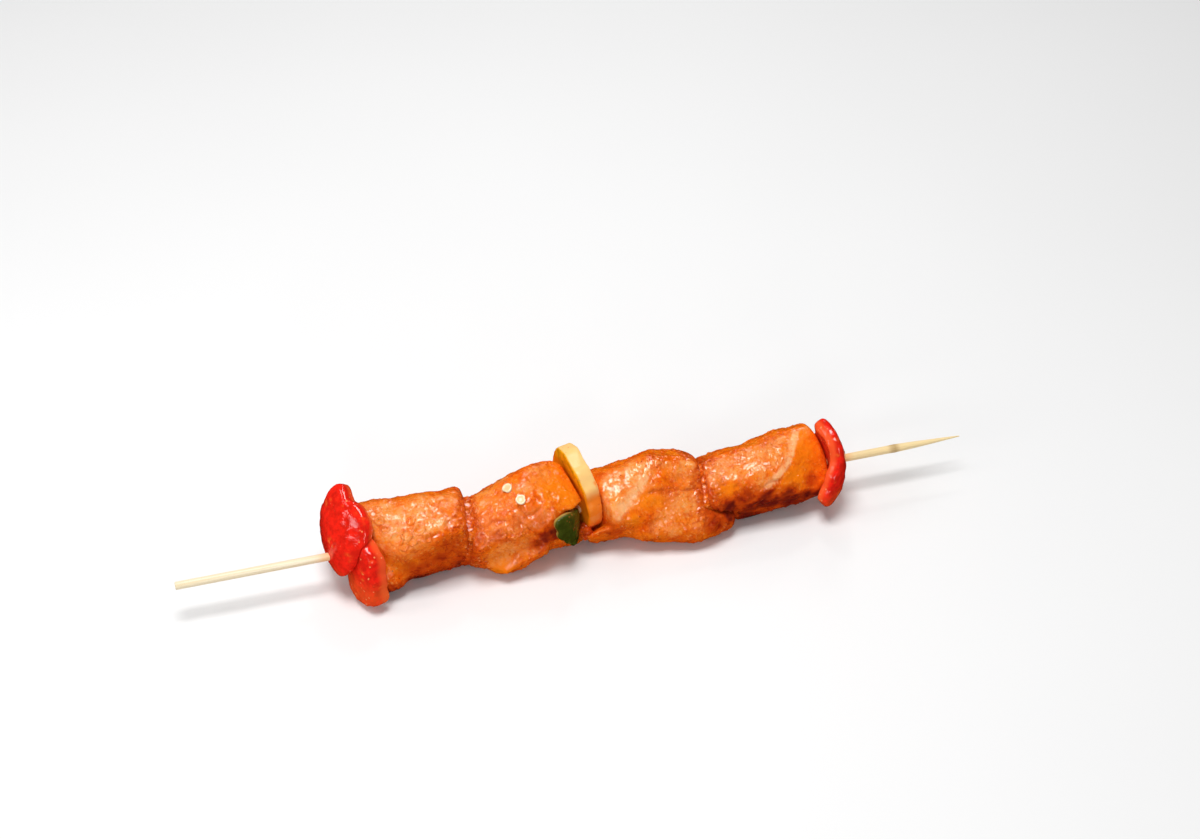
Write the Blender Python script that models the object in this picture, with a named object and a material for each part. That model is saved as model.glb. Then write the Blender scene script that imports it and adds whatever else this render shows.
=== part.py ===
"""One raw marinated chicken kebab on a bamboo skewer, lying on a table.

Run it with blender --background --python part.py, or from Blender's text editor.

The stick lies along X, blunt end at -X and point at +X, with its axis AXIS_HEIGHT above the table.
Y runs to the back and Z up. Sizes are in millimetres until the meshes are made, which are in metres.
Places are measured from the middle of the stick's axis.
"""

import math

import bmesh
import bpy
import numpy as np
from mathutils import Vector

MM = 0.001

# The stick
STICK_LENGTH = 300.0
STICK_RADIUS = 1.5
STICK_SIDES = 16
POINT_LENGTH = 25.0
TIP_RADIUS = 0.22
KNOT_PLACE = 123.0
KNOT_LENGTH = 4.0
KNOT_SWELL = 0.12
END_BEVEL = 0.35

# The assembly
AXIS_HEIGHT = 16.0
CLEARANCE = 0.3
SEAM_MARGIN = 0.25
NOTCH_MARGIN = 0.8
GAP_GROWTH = 0.4

# Mesh fineness
CHUNK_GRID = 12
SLAB_SPOKES = 30
SLAB_FLAT_RINGS = 3
SLAB_RIM_RINGS = 2

# Where neighbouring chicken chunks press together, along the stick
SEAM_1_2 = -43.5
SEAM_3_4 = 45.5
LOBE_REACH = 12.0
MEETING_2_3 = 1.5
MEETING_SLOPE = 0.7
UNDER_YELLOW = -10.5
BEFORE_YELLOW = -11.8

# Chilli seeds stuck to one chunk
SEEDED = "chicken_2"
SEED_RADIUS = 1.9
SEED_THICKNESS = 1.5
SEED_RAYS = ((-3.1, 5.0, 17.0), (0.6, -1.5, 15.0))


def smooth_max(a, b, k):
    return 0.5 * (a + b + np.sqrt((a - b) ** 2 + k * k))


def smooth_min(a, b, k):
    return 0.5 * (a + b - np.sqrt((a - b) ** 2 + k * k))


def smooth_step(x, low, high):
    share = np.clip((x - low) / (high - low), 0, 1)
    return share * share * (3 - 2 * share)


def turn(degrees_xyz):
    """Rotation matrix of three turns about X, then Y, then Z, in degrees."""
    cx, cy, cz = (math.cos(math.radians(d)) for d in degrees_xyz)
    sx, sy, sz = (math.sin(math.radians(d)) for d in degrees_xyz)
    about_x = np.array([[1, 0, 0], [0, cx, -sx], [0, sx, cx]])
    about_y = np.array([[cy, 0, sy], [0, 1, 0], [-sy, 0, cy]])
    about_z = np.array([[cz, -sz, 0], [sz, cz, 0], [0, 0, 1]])
    return about_z @ about_y @ about_x


def ellipsoid(p, centre, radii, turned=(0, 0, 0)):
    """Roughly the distance from points p to an ellipsoid's skin, negative inside."""
    q = (p - np.array(centre)) @ turn(turned) / np.array(radii)
    return (np.linalg.norm(q, axis=-1) - 1) * min(radii)


def facet(p, normal, through):
    """Distance in front of the plane of a knife cut."""
    n = np.array(normal, float)
    return (p - np.array(through)) @ (n / np.linalg.norm(n))


def block(p, cuts, rounding):
    """A chunk bounded by knife cuts, each a (normal, point) pair, with rounded edges."""
    field = facet(p, *cuts[0])
    for cut in cuts[1:]:
        field = smooth_max(field, facet(p, *cut), rounding)
    return field


def ripple(p, size, seed):
    """Smooth unevenness between -1 and 1, with bumps of about the given size."""
    turned = p @ turn((31 * seed, 47 * seed, 19 * seed)) / size * 3.1
    x, y, z = turned[..., 0], turned[..., 1], turned[..., 2]
    return 0.5 * (np.sin(x + 1.3 * np.sin(y)) + np.sin(z + 1.1 * np.sin(x + seed)))


# The slices of pepper. Each is a bent slab in its own frame: x through its thickness, y and z along it.
# Its bend gives the height of its middle surface. Its outline is (degrees, radius) pairs round its middle.


def red_end_bend(y, z):
    towards_top_front = (z - y) / math.sqrt(2)
    wrap = 0.030 * np.maximum(towards_top_front + 3, 0) ** 2
    return 0.014 * ((y + 3) ** 2 + (z + 4) ** 2) + wrap


def red_front_bend(y, z):
    return 0.030 * y**2 + 0.010 * z**2


def green_bend(y, z):
    return -0.045 * y**2 - 0.008 * z**2


def yellow_bend(y, z):
    return 0.003 * y**2 - 0.004 * z**2


def red_point_bend(y, z):
    curl = -0.110 * np.minimum(y + 4, 0) ** 2
    return -0.014 * z**2 - 0.050 * np.minimum(z + 4, 0) ** 2 - 0.012 * y**2 + curl


SLABS = {
    "pepper_red_end": {
        "bend": red_end_bend,
        "middle": (-92.0, 2.0, 5.0),
        "turned": (0, 0, 16),
        "thickness": 6.4,
        "slant": 0.0,
        "rim": 0.22,
        "outline": [
            (0, 12),
            (35, 14),
            (60, 19),
            (85, 15),
            (120, 14),
            (150, 13),
            (180, 12),
            (215, 12.5),
            (250, 12.5),
            (290, 13),
            (330, 13),
        ],
    },
    "pepper_red_front": {
        "bend": red_front_bend,
        "middle": (-83.8, -9.0, -3.0),
        "turned": (0, 10, 22),
        "thickness": 6.0,
        "slant": 3.0,
        "rim": 0.22,
        "outline": [
            (0, 11),
            (40, 13),
            (75, 15),
            (105, 13),
            (150, 9),
            (190, 9),
            (225, 12.5),
            (250, 12),
            (280, 11.5),
            (320, 12.5),
        ],
    },
    "pepper_green": {
        "bend": green_bend,
        "middle": (-4.6, -7.8, -1.5),
        "turned": (0, 0, -30),
        "thickness": 3.0,
        "slant": 0.0,
        "rim": 0.22,
        "outline": [
            (0, 7.5),
            (45, 7),
            (90, 9),
            (127, 14.5),
            (150, 10.5),
            (180, 7),
            (215, 5.5),
            (250, 7),
            (275, 8.5),
            (320, 7.5),
        ],
    },
    "pepper_yellow": {
        "bend": yellow_bend,
        "middle": (1.4, 4.0, 3.0),
        "turned": (0, 0, 13),
        "thickness": 6.0,
        "slant": 0.0,
        "rim": 0.06,
        "outline": [
            (0, 21),
            (30, 20),
            (62, 18.5),
            (90, 14.5),
            (125, 11.5),
            (155, 9.5),
            (190, 10.5),
            (225, 12.5),
            (270, 12),
            (315, 16),
        ],
    },
    "pepper_red_point": {
        "bend": red_point_bend,
        "middle": (98.6, -1.0, 0.4),
        "turned": (0, 0, 6),
        "thickness": 5.4,
        "slant": 0.0,
        "rim": 0.20,
        "outline": [
            (0, 10),
            (40, 13),
            (70, 18),
            (100, 16.5),
            (140, 12),
            (175, 12),
            (205, 14),
            (235, 14.5),
            (265, 13),
            (320, 11),
        ],
    },
}


def outline_radius(angle, outline):
    """The outline's radius at an angle in radians, read smoothly between (degrees, mm) pairs."""
    at = np.radians([a for a, _ in outline] + [outline[0][0] + 360])
    radii = np.array([r for _, r in outline] + [outline[0][1]], float)
    turned = np.mod(angle - at[0], 2 * math.pi) + at[0]
    i = np.clip(np.searchsorted(at, turned, side="right") - 1, 0, len(outline) - 1)
    share = (turned - at[i]) / (at[i + 1] - at[i])
    share = share * share * (3 - 2 * share)
    return radii[i] * (1 - share) + radii[i + 1] * share


def height_over_slab(p, slab):
    """Distance of points p from a slab's middle surface, carried on past its outline, along its x."""
    q = (p - np.array(slab["middle"])) @ turn(slab["turned"])
    y, z = q[..., 1], q[..., 2]
    step = 0.5
    slope_y = (slab["bend"](y + step, z) - slab["bend"](y - step, z)) / (2 * step)
    slope_z = (slab["bend"](y, z + step) - slab["bend"](y, z - step)) / (2 * step)
    return (q[..., 0] - slab["bend"](y, z)) / np.sqrt(1 + slope_y**2 + slope_z**2)


def beside(p, name, side):
    """Positive where p is not clear of a slab's face: side is +1 for its +x side, -1 for its -x side."""
    slab = SLABS[name]
    return slab["thickness"] / 2 + CLEARANCE - side * height_over_slab(p, slab)


def notch(p, name, side):
    """Like beside, but only within the slab's outline and a margin round it."""
    slab = SLABS[name]
    q = (p - np.array(slab["middle"])) @ turn(slab["turned"])
    angle = np.arctan2(q[..., 2], q[..., 1])
    out = np.hypot(q[..., 1], q[..., 2]) - outline_radius(angle, slab["outline"])
    return smooth_min(beside(p, name, side), NOTCH_MARGIN - out, 1.0)


def beside_yellow(p, side):
    """Positive where p is not clear of the yellow slice, under which chunks 2 and 3 meet."""
    y, z = p[..., 1], p[..., 2]
    over = smooth_min(z - UNDER_YELLOW, (y + z - BEFORE_YELLOW) / math.sqrt(2), 1.0)
    meeting = MEETING_2_3 + MEETING_SLOPE * np.minimum(y + 4, 0)
    past_meeting = SEAM_MARGIN + side * (meeting - p[..., 0])
    return smooth_max(smooth_min(beside(p, "pepper_yellow", side), over, 1.0), past_meeting, 1.0)


# The chunks of chicken


def seam_1_2(p):
    """How far past the seam between chunks 1 and 2 the points p lie."""
    wave = 0.8 * np.sin(p[..., 1] / 5.5) + 0.7 * np.sin(p[..., 2] / 6.5 + 1)
    return p[..., 0] - SEAM_1_2 - wave


def seam_3_4(p):
    """How far past the seam between chunks 3 and 4 the points p lie. Chunk 4 lies on chunk 3's lobe."""
    step = LOBE_REACH * smooth_step(-p[..., 2], 0.0, 8.0)
    wave = 0.8 * np.sin(p[..., 1] / 5.5 + 2)
    return (p[..., 0] - SEAM_3_4 - step - wave) / 1.5


def chicken_1_field(p):
    body = block(
        p,
        [
            ((-0.12, -0.37, 0.92), (-69.7, -14.0, 8.4)),
            ((0.40, 0.10, 0.91), (-51, 0, 16.4)),
            ((0.185, -0.98, -0.08), (-69.7, -14.4, 7.9)),
            ((-0.64, -0.76, -0.05), (-75.0, -9.5, 9.0)),
            ((0.0, -0.78, -0.62), (-62, -11.5, -7)),
            ((0.0, 0.62, 0.78), (-62, 9, 16)),
            ((0, 1, -0.15), (-62, 15, 0)),
        ],
        3.5,
    )
    toe = ellipsoid(p, (-76.0, -6.0, -8.5), (7, 7, 6.5))
    field = smooth_min(body, toe, 3.0) + 0.6 * ripple(p, 12, 1)
    field = smooth_max(field, beside(p, "pepper_red_end", 1), 1.0)
    field = smooth_max(field, notch(p, "pepper_red_front", 1), 1.0)
    return smooth_max(field, seam_1_2(p) + SEAM_MARGIN, 1.0)


def chicken_2_field(p):
    lobe = block(
        p,
        [
            ((-0.47, -0.25, 0.84), (-27, 3, 17.2)),
            ((0.35, -0.15, 0.93), (-18, 6, 19.8)),
            ((0.0, -0.80, 0.60), (-16, -9.5, 12)),
            ((0.0, -0.92, -0.38), (-18, -13.5, 0)),
            ((-0.34, 0.75, 0.66), (-20, 11.5, 17)),
            ((0, 1, -0.1), (-20, 15, 0)),
            ((0.0, -0.3, -0.95), (-20, -6, -14.5)),
        ],
        3.5,
    )
    flap = block(
        p,
        [
            ((-0.22, -0.74, 0.63), (-32, -13.4, -6)),
            ((-0.59, -0.49, -0.64), (-32.3, -13.3, -14)),
            ((0.30, -0.71, -0.63), (-32.3, -13.3, -14)),
            ((0.0, 0.5, 0.85), (-32, -4, 5)),
            ((0.94, 0.3, 0.1), (-17, -6, -4)),
            ((0.0, 1, 0), (-30, 6, -8)),
        ],
        1.8,
    )
    field = smooth_min(lobe, flap, 1.8) + 0.5 * ripple(p, 12, 2)
    field = smooth_max(field, notch(p, "pepper_green", -1), 1.0)
    field = smooth_max(field, beside_yellow(p, -1), 2.0)
    return smooth_max(field, SEAM_MARGIN - seam_1_2(p), 1.0)


def chicken_3_field(p):
    body = block(
        p,
        [
            ((-0.113, -0.478, 0.871), (24.2, -0.9, 13.2)),
            ((0.10, -0.69, 0.72), (24.2, -0.9, 13.2)),
            ((-0.22, 0.55, 0.80), (14.3, 7, 12.8)),
            ((0.0, -0.93, -0.35), (16, -13.0, 0)),
            ((0.25, 0.45, 0.86), (40, 7, 12)),
            ((0, 1, -0.1), (25, 15, 0)),
            ((0.0, -0.5, -0.87), (20, -9, -13)),
        ],
        2.5,
    )
    lobe = ellipsoid(p, (38, -6.5, -8.0), (23, 10.4, 8.4), (0, 3, 0))
    field = smooth_min(body, lobe, 2.0) + 0.5 * ripple(p, 12, 3)
    field = smooth_max(field, beside_yellow(p, 1), 2.0)
    return smooth_max(field, seam_3_4(p) + SEAM_MARGIN, 1.0)


def chicken_4_field(p):
    body = block(
        p,
        [
            ((-0.073, -0.241, 0.968), (62.1, 0, 10.6)),
            ((0.0, -0.88, 0.47), (60, -10.5, 5.5)),
            ((0.0, -0.93, -0.37), (66, -13.6, 0)),
            ((0.42, -0.66, 0.62), (79.9, -6, 10.4)),
            ((-0.17, 0.60, 0.76), (80, 8, 13.4)),
            ((0, 1, -0.1), (70, 15, 0)),
            ((0.30, -0.30, -0.91), (74, -5, -16.2)),
        ],
        2.5,
    )
    field = body + 0.5 * ripple(p, 12, 4)
    field = smooth_max(field, beside(p, "pepper_red_point", -1), 1.0)
    return smooth_max(field, SEAM_MARGIN - seam_3_4(p), 1.0)


CHUNKS = {
    "chicken_1": {"field": chicken_1_field, "middle": (-64, 0, 0)},
    "chicken_2": {"field": chicken_2_field, "middle": (-24, -2, -1)},
    "chicken_3": {"field": chicken_3_field, "middle": (28, -2, -2)},
    "chicken_4": {"field": chicken_4_field, "middle": (70, 0, 0)},
}

# The pieces that each slice presses into
PRESSED_BY = {
    "pepper_red_front": ("chicken_1", "pepper_red_end"),
    "pepper_green": ("chicken_2",),
    "pepper_yellow": ("chicken_2", "chicken_3"),
}


def on_table(p, field):
    """The field cut off flat at the table."""
    return np.maximum(field, -AXIS_HEIGHT - p[..., 2])


def cast(field, middle, directions, reach=45.0, steps=90):
    """The first crossing of the field's skin along each direction from the middle."""
    far = np.linspace(0, reach, steps)
    points = np.array(middle) + directions[:, None, :] * far[None, :, None]
    outside = on_table(points, field(points)) > 0
    first = np.argmax(outside, axis=1)
    low, high = far[first - 1], far[first]
    for _ in range(14):
        half = (low + high) / 2
        points = np.array(middle) + directions * half[:, None]
        out = on_table(points, field(points)) > 0
        high = np.where(out, half, high)
        low = np.where(out, low, half)
    return np.array(middle) + directions * ((low + high) / 2)[:, None]


def to_metres(points):
    """Places from the stick's axis in mm, as places from the table in metres."""
    return (np.asarray(points) + np.array([0, 0, AXIS_HEIGHT])) * MM


def material(name, colour, roughness):
    made = bpy.data.materials.new(name)
    made.use_nodes = True
    shader = made.node_tree.nodes["Principled BSDF"]
    shader.inputs["Base Color"].default_value = (*colour, 1)
    shader.inputs["Roughness"].default_value = roughness
    return made


def finish_object(name, bm, finish):
    """A shaded object from a bmesh, with its faces pointing out."""
    bmesh.ops.recalc_face_normals(bm, faces=bm.faces)
    mesh = bpy.data.meshes.new(name)
    bm.to_mesh(mesh)
    bm.free()
    mesh.shade_smooth()
    mesh.set_sharp_from_angle(angle=math.radians(50))
    mesh.materials.append(finish)
    made = bpy.data.objects.new(name, mesh)
    bpy.context.scene.collection.objects.link(made)
    return made


def chunk(name, spec, finish):
    """A chunk of chicken: a gridded cube whose corners are cast out onto the chunk's skin."""
    bm = bmesh.new()
    bmesh.ops.create_cube(bm, size=2)
    bmesh.ops.subdivide_edges(bm, edges=bm.edges, cuts=CHUNK_GRID - 1, use_grid_fill=True)
    corners = np.array([v.co[:] for v in bm.verts])
    spread = np.tan(corners * math.pi / 4)
    directions = spread / np.linalg.norm(spread, axis=1)[:, None]
    skin = to_metres(cast(spec["field"], spec["middle"], directions))
    for vert, place in zip(bm.verts, skin):
        vert.co = place
    return finish_object(name, bm, finish)


def slab_rings(rim):
    """(share of the outline, share of half the thickness) for each ring from one pole to the other."""
    flat = [((1 - rim) * i / SLAB_FLAT_RINGS, 1.0) for i in range(1, SLAB_FLAT_RINGS + 1)]
    turns = [math.pi / 2 * i / SLAB_RIM_RINGS for i in range(1, SLAB_RIM_RINGS)]
    front = flat + [(1 - rim + rim * math.sin(t), math.cos(t)) for t in turns]
    return front + [(1.0, 0.0)] + [(out, -up) for out, up in reversed(front)]


def slab_point(slab, out, up, angle, grow=0.0):
    """A place on a slab: a share of its outline at an angle, and a share of half its thickness along x."""
    radius = (outline_radius(angle, slab["outline"]) + grow) * out
    y = radius * np.cos(angle) - slab["slant"] * up / 2
    z = radius * np.sin(angle)
    step = 0.25
    slope_y = (slab["bend"](y + step, z) - slab["bend"](y - step, z)) / (2 * step)
    slope_z = (slab["bend"](y, z + step) - slab["bend"](y, z - step)) / (2 * step)
    normal = np.array([1.0, -slope_y, -slope_z])
    normal /= np.linalg.norm(normal)
    here = np.array([slab["bend"](y, z), y, z]) + normal * up * (slab["thickness"] / 2 + grow)
    placed = np.array(slab["middle"]) + turn(slab["turned"]) @ here
    placed[2] = max(placed[2], -AXIS_HEIGHT)
    return placed


def slab_piece(name, slab, finish, grow=0.0):
    """A bent slab of pepper with a rounded rim."""
    bm = bmesh.new()

    def place(out, up, angle):
        return bm.verts.new(to_metres(slab_point(slab, out, up, angle, grow)))

    angles = [2 * math.pi * i / SLAB_SPOKES for i in range(SLAB_SPOKES)]
    rings = [[place(out, up, a) for a in angles] for out, up in slab_rings(slab["rim"])]
    for pole, ring in ((place(0, 1, 0), rings[0]), (place(0, -1, 0), rings[-1])):
        for i in range(SLAB_SPOKES):
            bm.faces.new((pole, ring[i], ring[(i + 1) % SLAB_SPOKES]))
    for near, far in zip(rings, rings[1:]):
        for i in range(SLAB_SPOKES):
            j = (i + 1) % SLAB_SPOKES
            bm.faces.new((near[i], near[j], far[j], far[i]))
    return finish_object(name, bm, finish)


def stick_profile():
    """(x, radius) pairs from the blunt end to the point."""
    start, end = -STICK_LENGTH / 2, STICK_LENGTH / 2
    knot = []
    for s in (-1, -0.4, 0, 0.4, 1):
        knot.append((KNOT_PLACE + KNOT_LENGTH * s / 2, STICK_RADIUS + KNOT_SWELL * (1 - s * s)))
    point = []
    for share in (0.25, 0.5, 0.75, 1.0):
        x = end - POINT_LENGTH * (1 - share)
        point.append((x, TIP_RADIUS + (STICK_RADIUS - TIP_RADIUS) * (1 - share**1.25)))
    return [(start, STICK_RADIUS - END_BEVEL), (start + END_BEVEL, STICK_RADIUS), *knot, *point]


def stick(finish):
    """The bamboo stick, turned from its profile, with closed ends."""
    bm = bmesh.new()
    rings = []
    for x, radius in stick_profile():
        ring = []
        for i in range(STICK_SIDES):
            angle = 2 * math.pi * i / STICK_SIDES
            place = (x, radius * math.cos(angle), radius * math.sin(angle))
            ring.append(bm.verts.new(to_metres(place)))
        rings.append(ring)
    for near, far in zip(rings, rings[1:]):
        for i in range(STICK_SIDES):
            j = (i + 1) % STICK_SIDES
            bm.faces.new((near[i], near[j], far[j], far[i]))
    bm.faces.new(rings[0])
    bm.faces.new(rings[-1])
    return finish_object("stick", bm, finish)


def hide_as_cutter(cutter):
    cutter.hide_render = True
    cutter.display_type = "WIRE"
    return cutter


def hole_cutter(finish):
    """A rod a little thicker than the stick, which pierces the food."""
    bm = bmesh.new()
    bmesh.ops.create_cone(
        bm,
        cap_ends=True,
        segments=STICK_SIDES,
        radius1=(STICK_RADIUS + CLEARANCE) * MM,
        radius2=(STICK_RADIUS + CLEARANCE) * MM,
        depth=STICK_LENGTH * MM,
        matrix=Vector((0, 0, 1)).rotation_difference(Vector((1, 0, 0))).to_matrix().to_4x4(),
    )
    bmesh.ops.translate(bm, verts=bm.verts, vec=(0, 0, AXIS_HEIGHT * MM))
    return hide_as_cutter(finish_object("hole_cutter", bm, finish))


def cut_away(piece, cutter):
    cut = piece.modifiers.new(cutter.name, "BOOLEAN")
    cut.operation = "DIFFERENCE"
    cut.object = cutter
    cut.solver = "EXACT"


def seed_places():
    """(place, outward normal) of each seed on its chunk."""
    spec = CHUNKS[SEEDED]
    rays = np.array(SEED_RAYS, float)
    places = cast(spec["field"], spec["middle"], rays / np.linalg.norm(rays, axis=1)[:, None])
    step = 0.6
    found = []
    for place in places:
        ahead = [spec["field"](place + step * axis) for axis in np.eye(3)]
        behind = [spec["field"](place - step * axis) for axis in np.eye(3)]
        slope = np.array(ahead) - np.array(behind)
        found.append((place, slope / np.linalg.norm(slope)))
    return found


def add_seeds(chunk_object, finish):
    """Fuses the flat round seeds to the chunk."""
    seeds = bpy.data.collections.new("seeds")
    bpy.context.scene.collection.children.link(seeds)
    for i, (place, normal) in enumerate(seed_places()):
        bm = bmesh.new()
        bmesh.ops.create_icosphere(bm, subdivisions=1, radius=SEED_RADIUS * MM)
        made = finish_object(f"seed_{i + 1}", bm, finish)
        made.scale = (1, 1, SEED_THICKNESS / 2 / SEED_RADIUS)
        made.rotation_euler = Vector(normal).to_track_quat("Z", "X").to_euler()
        made.location = to_metres(place)
        bpy.context.scene.collection.objects.unlink(made)
        seeds.objects.link(made)
    fuse = chunk_object.modifiers.new("seeds", "BOOLEAN")
    fuse.operation = "UNION"
    fuse.operand_type = "COLLECTION"
    fuse.collection = seeds
    fuse.solver = "EXACT"
    with bpy.context.temp_override(object=chunk_object):
        bpy.ops.object.modifier_apply(modifier=fuse.name)
    for made in list(seeds.objects):
        bpy.data.objects.remove(made)
    bpy.data.collections.remove(seeds)


def centring_shift(pieces):
    """The move that puts the middle of the pieces' box over the origin."""
    bpy.context.view_layer.update()
    corners = [o.matrix_world @ Vector(c) for o in pieces for c in o.bound_box]
    ys = [c.y for c in corners]
    return Vector((0, -(min(ys) + max(ys)) / 2, -min(c.z for c in corners)))


def main():
    for old in list(bpy.data.objects):
        bpy.data.objects.remove(old)
    bamboo = material("bamboo", (0.86, 0.66, 0.36), 0.55)
    meat = material("marinated_chicken", (0.84, 0.27, 0.06), 0.28)
    seed = material("seed", (0.93, 0.85, 0.55), 0.4)
    red = material("red_pepper", (0.72, 0.02, 0.015), 0.25)
    green = material("green_pepper", (0.06, 0.16, 0.03), 0.25)
    yellow = material("yellow_pepper", (0.92, 0.50, 0.06), 0.3)
    skins = {"pepper_green": green, "pepper_yellow": yellow}
    hole = hole_cutter(bamboo)
    pieces = []
    for name, slab in SLABS.items():
        pieces.append(slab_piece(name, slab, skins.get(name, red)))
    for name, spec in CHUNKS.items():
        pieces.append(chunk(name, spec, meat))
        if name == SEEDED:
            add_seeds(pieces[-1], seed)
    cutters = [hole]
    for slab_name, pressed in PRESSED_BY.items():
        gap = slab_piece(slab_name + "_gap", SLABS[slab_name], red, GAP_GROWTH)
        cutters.append(hide_as_cutter(gap))
        for piece in pieces:
            if piece.name in pressed:
                cut_away(piece, gap)
    for piece in pieces:
        cut_away(piece, hole)
    pieces.append(stick(bamboo))
    holder = bpy.data.objects.new("kebab", None)
    bpy.context.scene.collection.objects.link(holder)
    for piece in [*pieces, *cutters]:
        piece.parent = holder
    holder.location = centring_shift(pieces)


main()
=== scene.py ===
"""The chicken kebab as photographed: raw marinated chicken and pepper on a bamboo skewer, on a pale table.

Shapes are worked out in millimetres from the middle of the skewer's axis, and put in place in metres.
X runs along the skewer to its point, Y to the back and Z up.
"""

import itertools
import math

import bmesh
import bpy
import numpy as np
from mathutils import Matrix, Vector


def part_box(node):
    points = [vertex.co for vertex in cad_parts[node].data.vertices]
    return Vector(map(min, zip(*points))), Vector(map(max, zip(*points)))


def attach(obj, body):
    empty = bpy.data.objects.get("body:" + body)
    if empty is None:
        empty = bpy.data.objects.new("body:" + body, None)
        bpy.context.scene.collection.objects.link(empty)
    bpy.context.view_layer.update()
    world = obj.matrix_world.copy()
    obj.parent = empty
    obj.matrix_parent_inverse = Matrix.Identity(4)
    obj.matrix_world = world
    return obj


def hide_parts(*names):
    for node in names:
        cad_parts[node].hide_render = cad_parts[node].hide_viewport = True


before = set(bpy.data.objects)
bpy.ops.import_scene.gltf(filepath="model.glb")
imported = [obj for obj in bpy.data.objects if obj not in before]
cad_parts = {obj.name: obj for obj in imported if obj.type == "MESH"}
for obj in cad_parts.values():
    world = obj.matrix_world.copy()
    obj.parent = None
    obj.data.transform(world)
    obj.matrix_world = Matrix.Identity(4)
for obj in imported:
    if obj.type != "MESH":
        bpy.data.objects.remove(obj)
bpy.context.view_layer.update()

MM = 0.001

# The stick
STICK_LENGTH = 300.0
STICK_RADIUS = 1.5
POINT_LENGTH = 25.0
TIP_RADIUS = 0.22
KNOT_PLACE = 123.0
KNOT_LENGTH = 4.0
KNOT_SWELL = 0.12
END_BEVEL = 0.35

# The assembly
AXIS_HEIGHT = 16.0
CLEARANCE = 0.3
SEAM_MARGIN = 0.25
NOTCH_MARGIN = 0.8
GAP_GROWTH = 0.4

# Where neighbouring chicken chunks press together, along the stick
SEAM_1_2 = -43.5
SEAM_3_4 = 45.5
LOBE_REACH = 12.0
MEETING_2_3 = 1.5
MEETING_SLOPE = 0.7
UNDER_YELLOW = -10.5
BEFORE_YELLOW = -11.8

# Chilli seeds stuck to one chunk
SEEDED = "chicken_2"
SEED_RADIUS = 1.9
SEED_THICKNESS = 1.5
SEED_RAYS = ((-3.1, 5.0, 17.0), (0.6, -1.5, 15.0))


def smooth_max(a, b, k):
    return 0.5 * (a + b + np.sqrt((a - b) ** 2 + k * k))


def smooth_min(a, b, k):
    return 0.5 * (a + b - np.sqrt((a - b) ** 2 + k * k))


def smooth_step(x, low, high):
    share = np.clip((x - low) / (high - low), 0, 1)
    return share * share * (3 - 2 * share)


def turn(degrees_xyz):
    """Rotation matrix of three turns about X, then Y, then Z, in degrees."""
    cx, cy, cz = (math.cos(math.radians(d)) for d in degrees_xyz)
    sx, sy, sz = (math.sin(math.radians(d)) for d in degrees_xyz)
    about_x = np.array([[1, 0, 0], [0, cx, -sx], [0, sx, cx]])
    about_y = np.array([[cy, 0, sy], [0, 1, 0], [-sy, 0, cy]])
    about_z = np.array([[cz, -sz, 0], [sz, cz, 0], [0, 0, 1]])
    return about_z @ about_y @ about_x


def ellipsoid(p, centre, radii, turned=(0, 0, 0)):
    """Roughly the distance from points p to an ellipsoid's skin, negative inside."""
    q = (p - np.array(centre)) @ turn(turned) / np.array(radii)
    return (np.linalg.norm(q, axis=-1) - 1) * min(radii)


def facet(p, normal, through):
    """Distance in front of the plane of a knife cut."""
    n = np.array(normal, float)
    return (p - np.array(through)) @ (n / np.linalg.norm(n))


def block(p, cuts, rounding):
    """A chunk bounded by knife cuts, each a (normal, point) pair, with rounded edges."""
    field = facet(p, *cuts[0])
    for cut in cuts[1:]:
        field = smooth_max(field, facet(p, *cut), rounding)
    return field


def ripple(p, size, seed):
    """Smooth unevenness between -1 and 1, with bumps of about the given size."""
    turned = p @ turn((31 * seed, 47 * seed, 19 * seed)) / size * 3.1
    x, y, z = turned[..., 0], turned[..., 1], turned[..., 2]
    return 0.5 * (np.sin(x + 1.3 * np.sin(y)) + np.sin(z + 1.1 * np.sin(x + seed)))


# The slices of pepper. Each is a bent slab in its own frame: x through its thickness, y and z along it.
# Its bend gives the height of its middle surface. Its outline is (degrees, radius) pairs round its middle.


def red_end_bend(y, z):
    towards_top_front = (z - y) / math.sqrt(2)
    wrap = 0.030 * np.maximum(towards_top_front + 3, 0) ** 2
    return 0.014 * ((y + 3) ** 2 + (z + 4) ** 2) + wrap


def red_front_bend(y, z):
    return 0.030 * y**2 + 0.010 * z**2


def green_bend(y, z):
    return -0.045 * y**2 - 0.008 * z**2


def yellow_bend(y, z):
    return 0.003 * y**2 - 0.004 * z**2


def red_point_bend(y, z):
    curl = -0.110 * np.minimum(y + 4, 0) ** 2
    return -0.014 * z**2 - 0.050 * np.minimum(z + 4, 0) ** 2 - 0.012 * y**2 + curl


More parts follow.
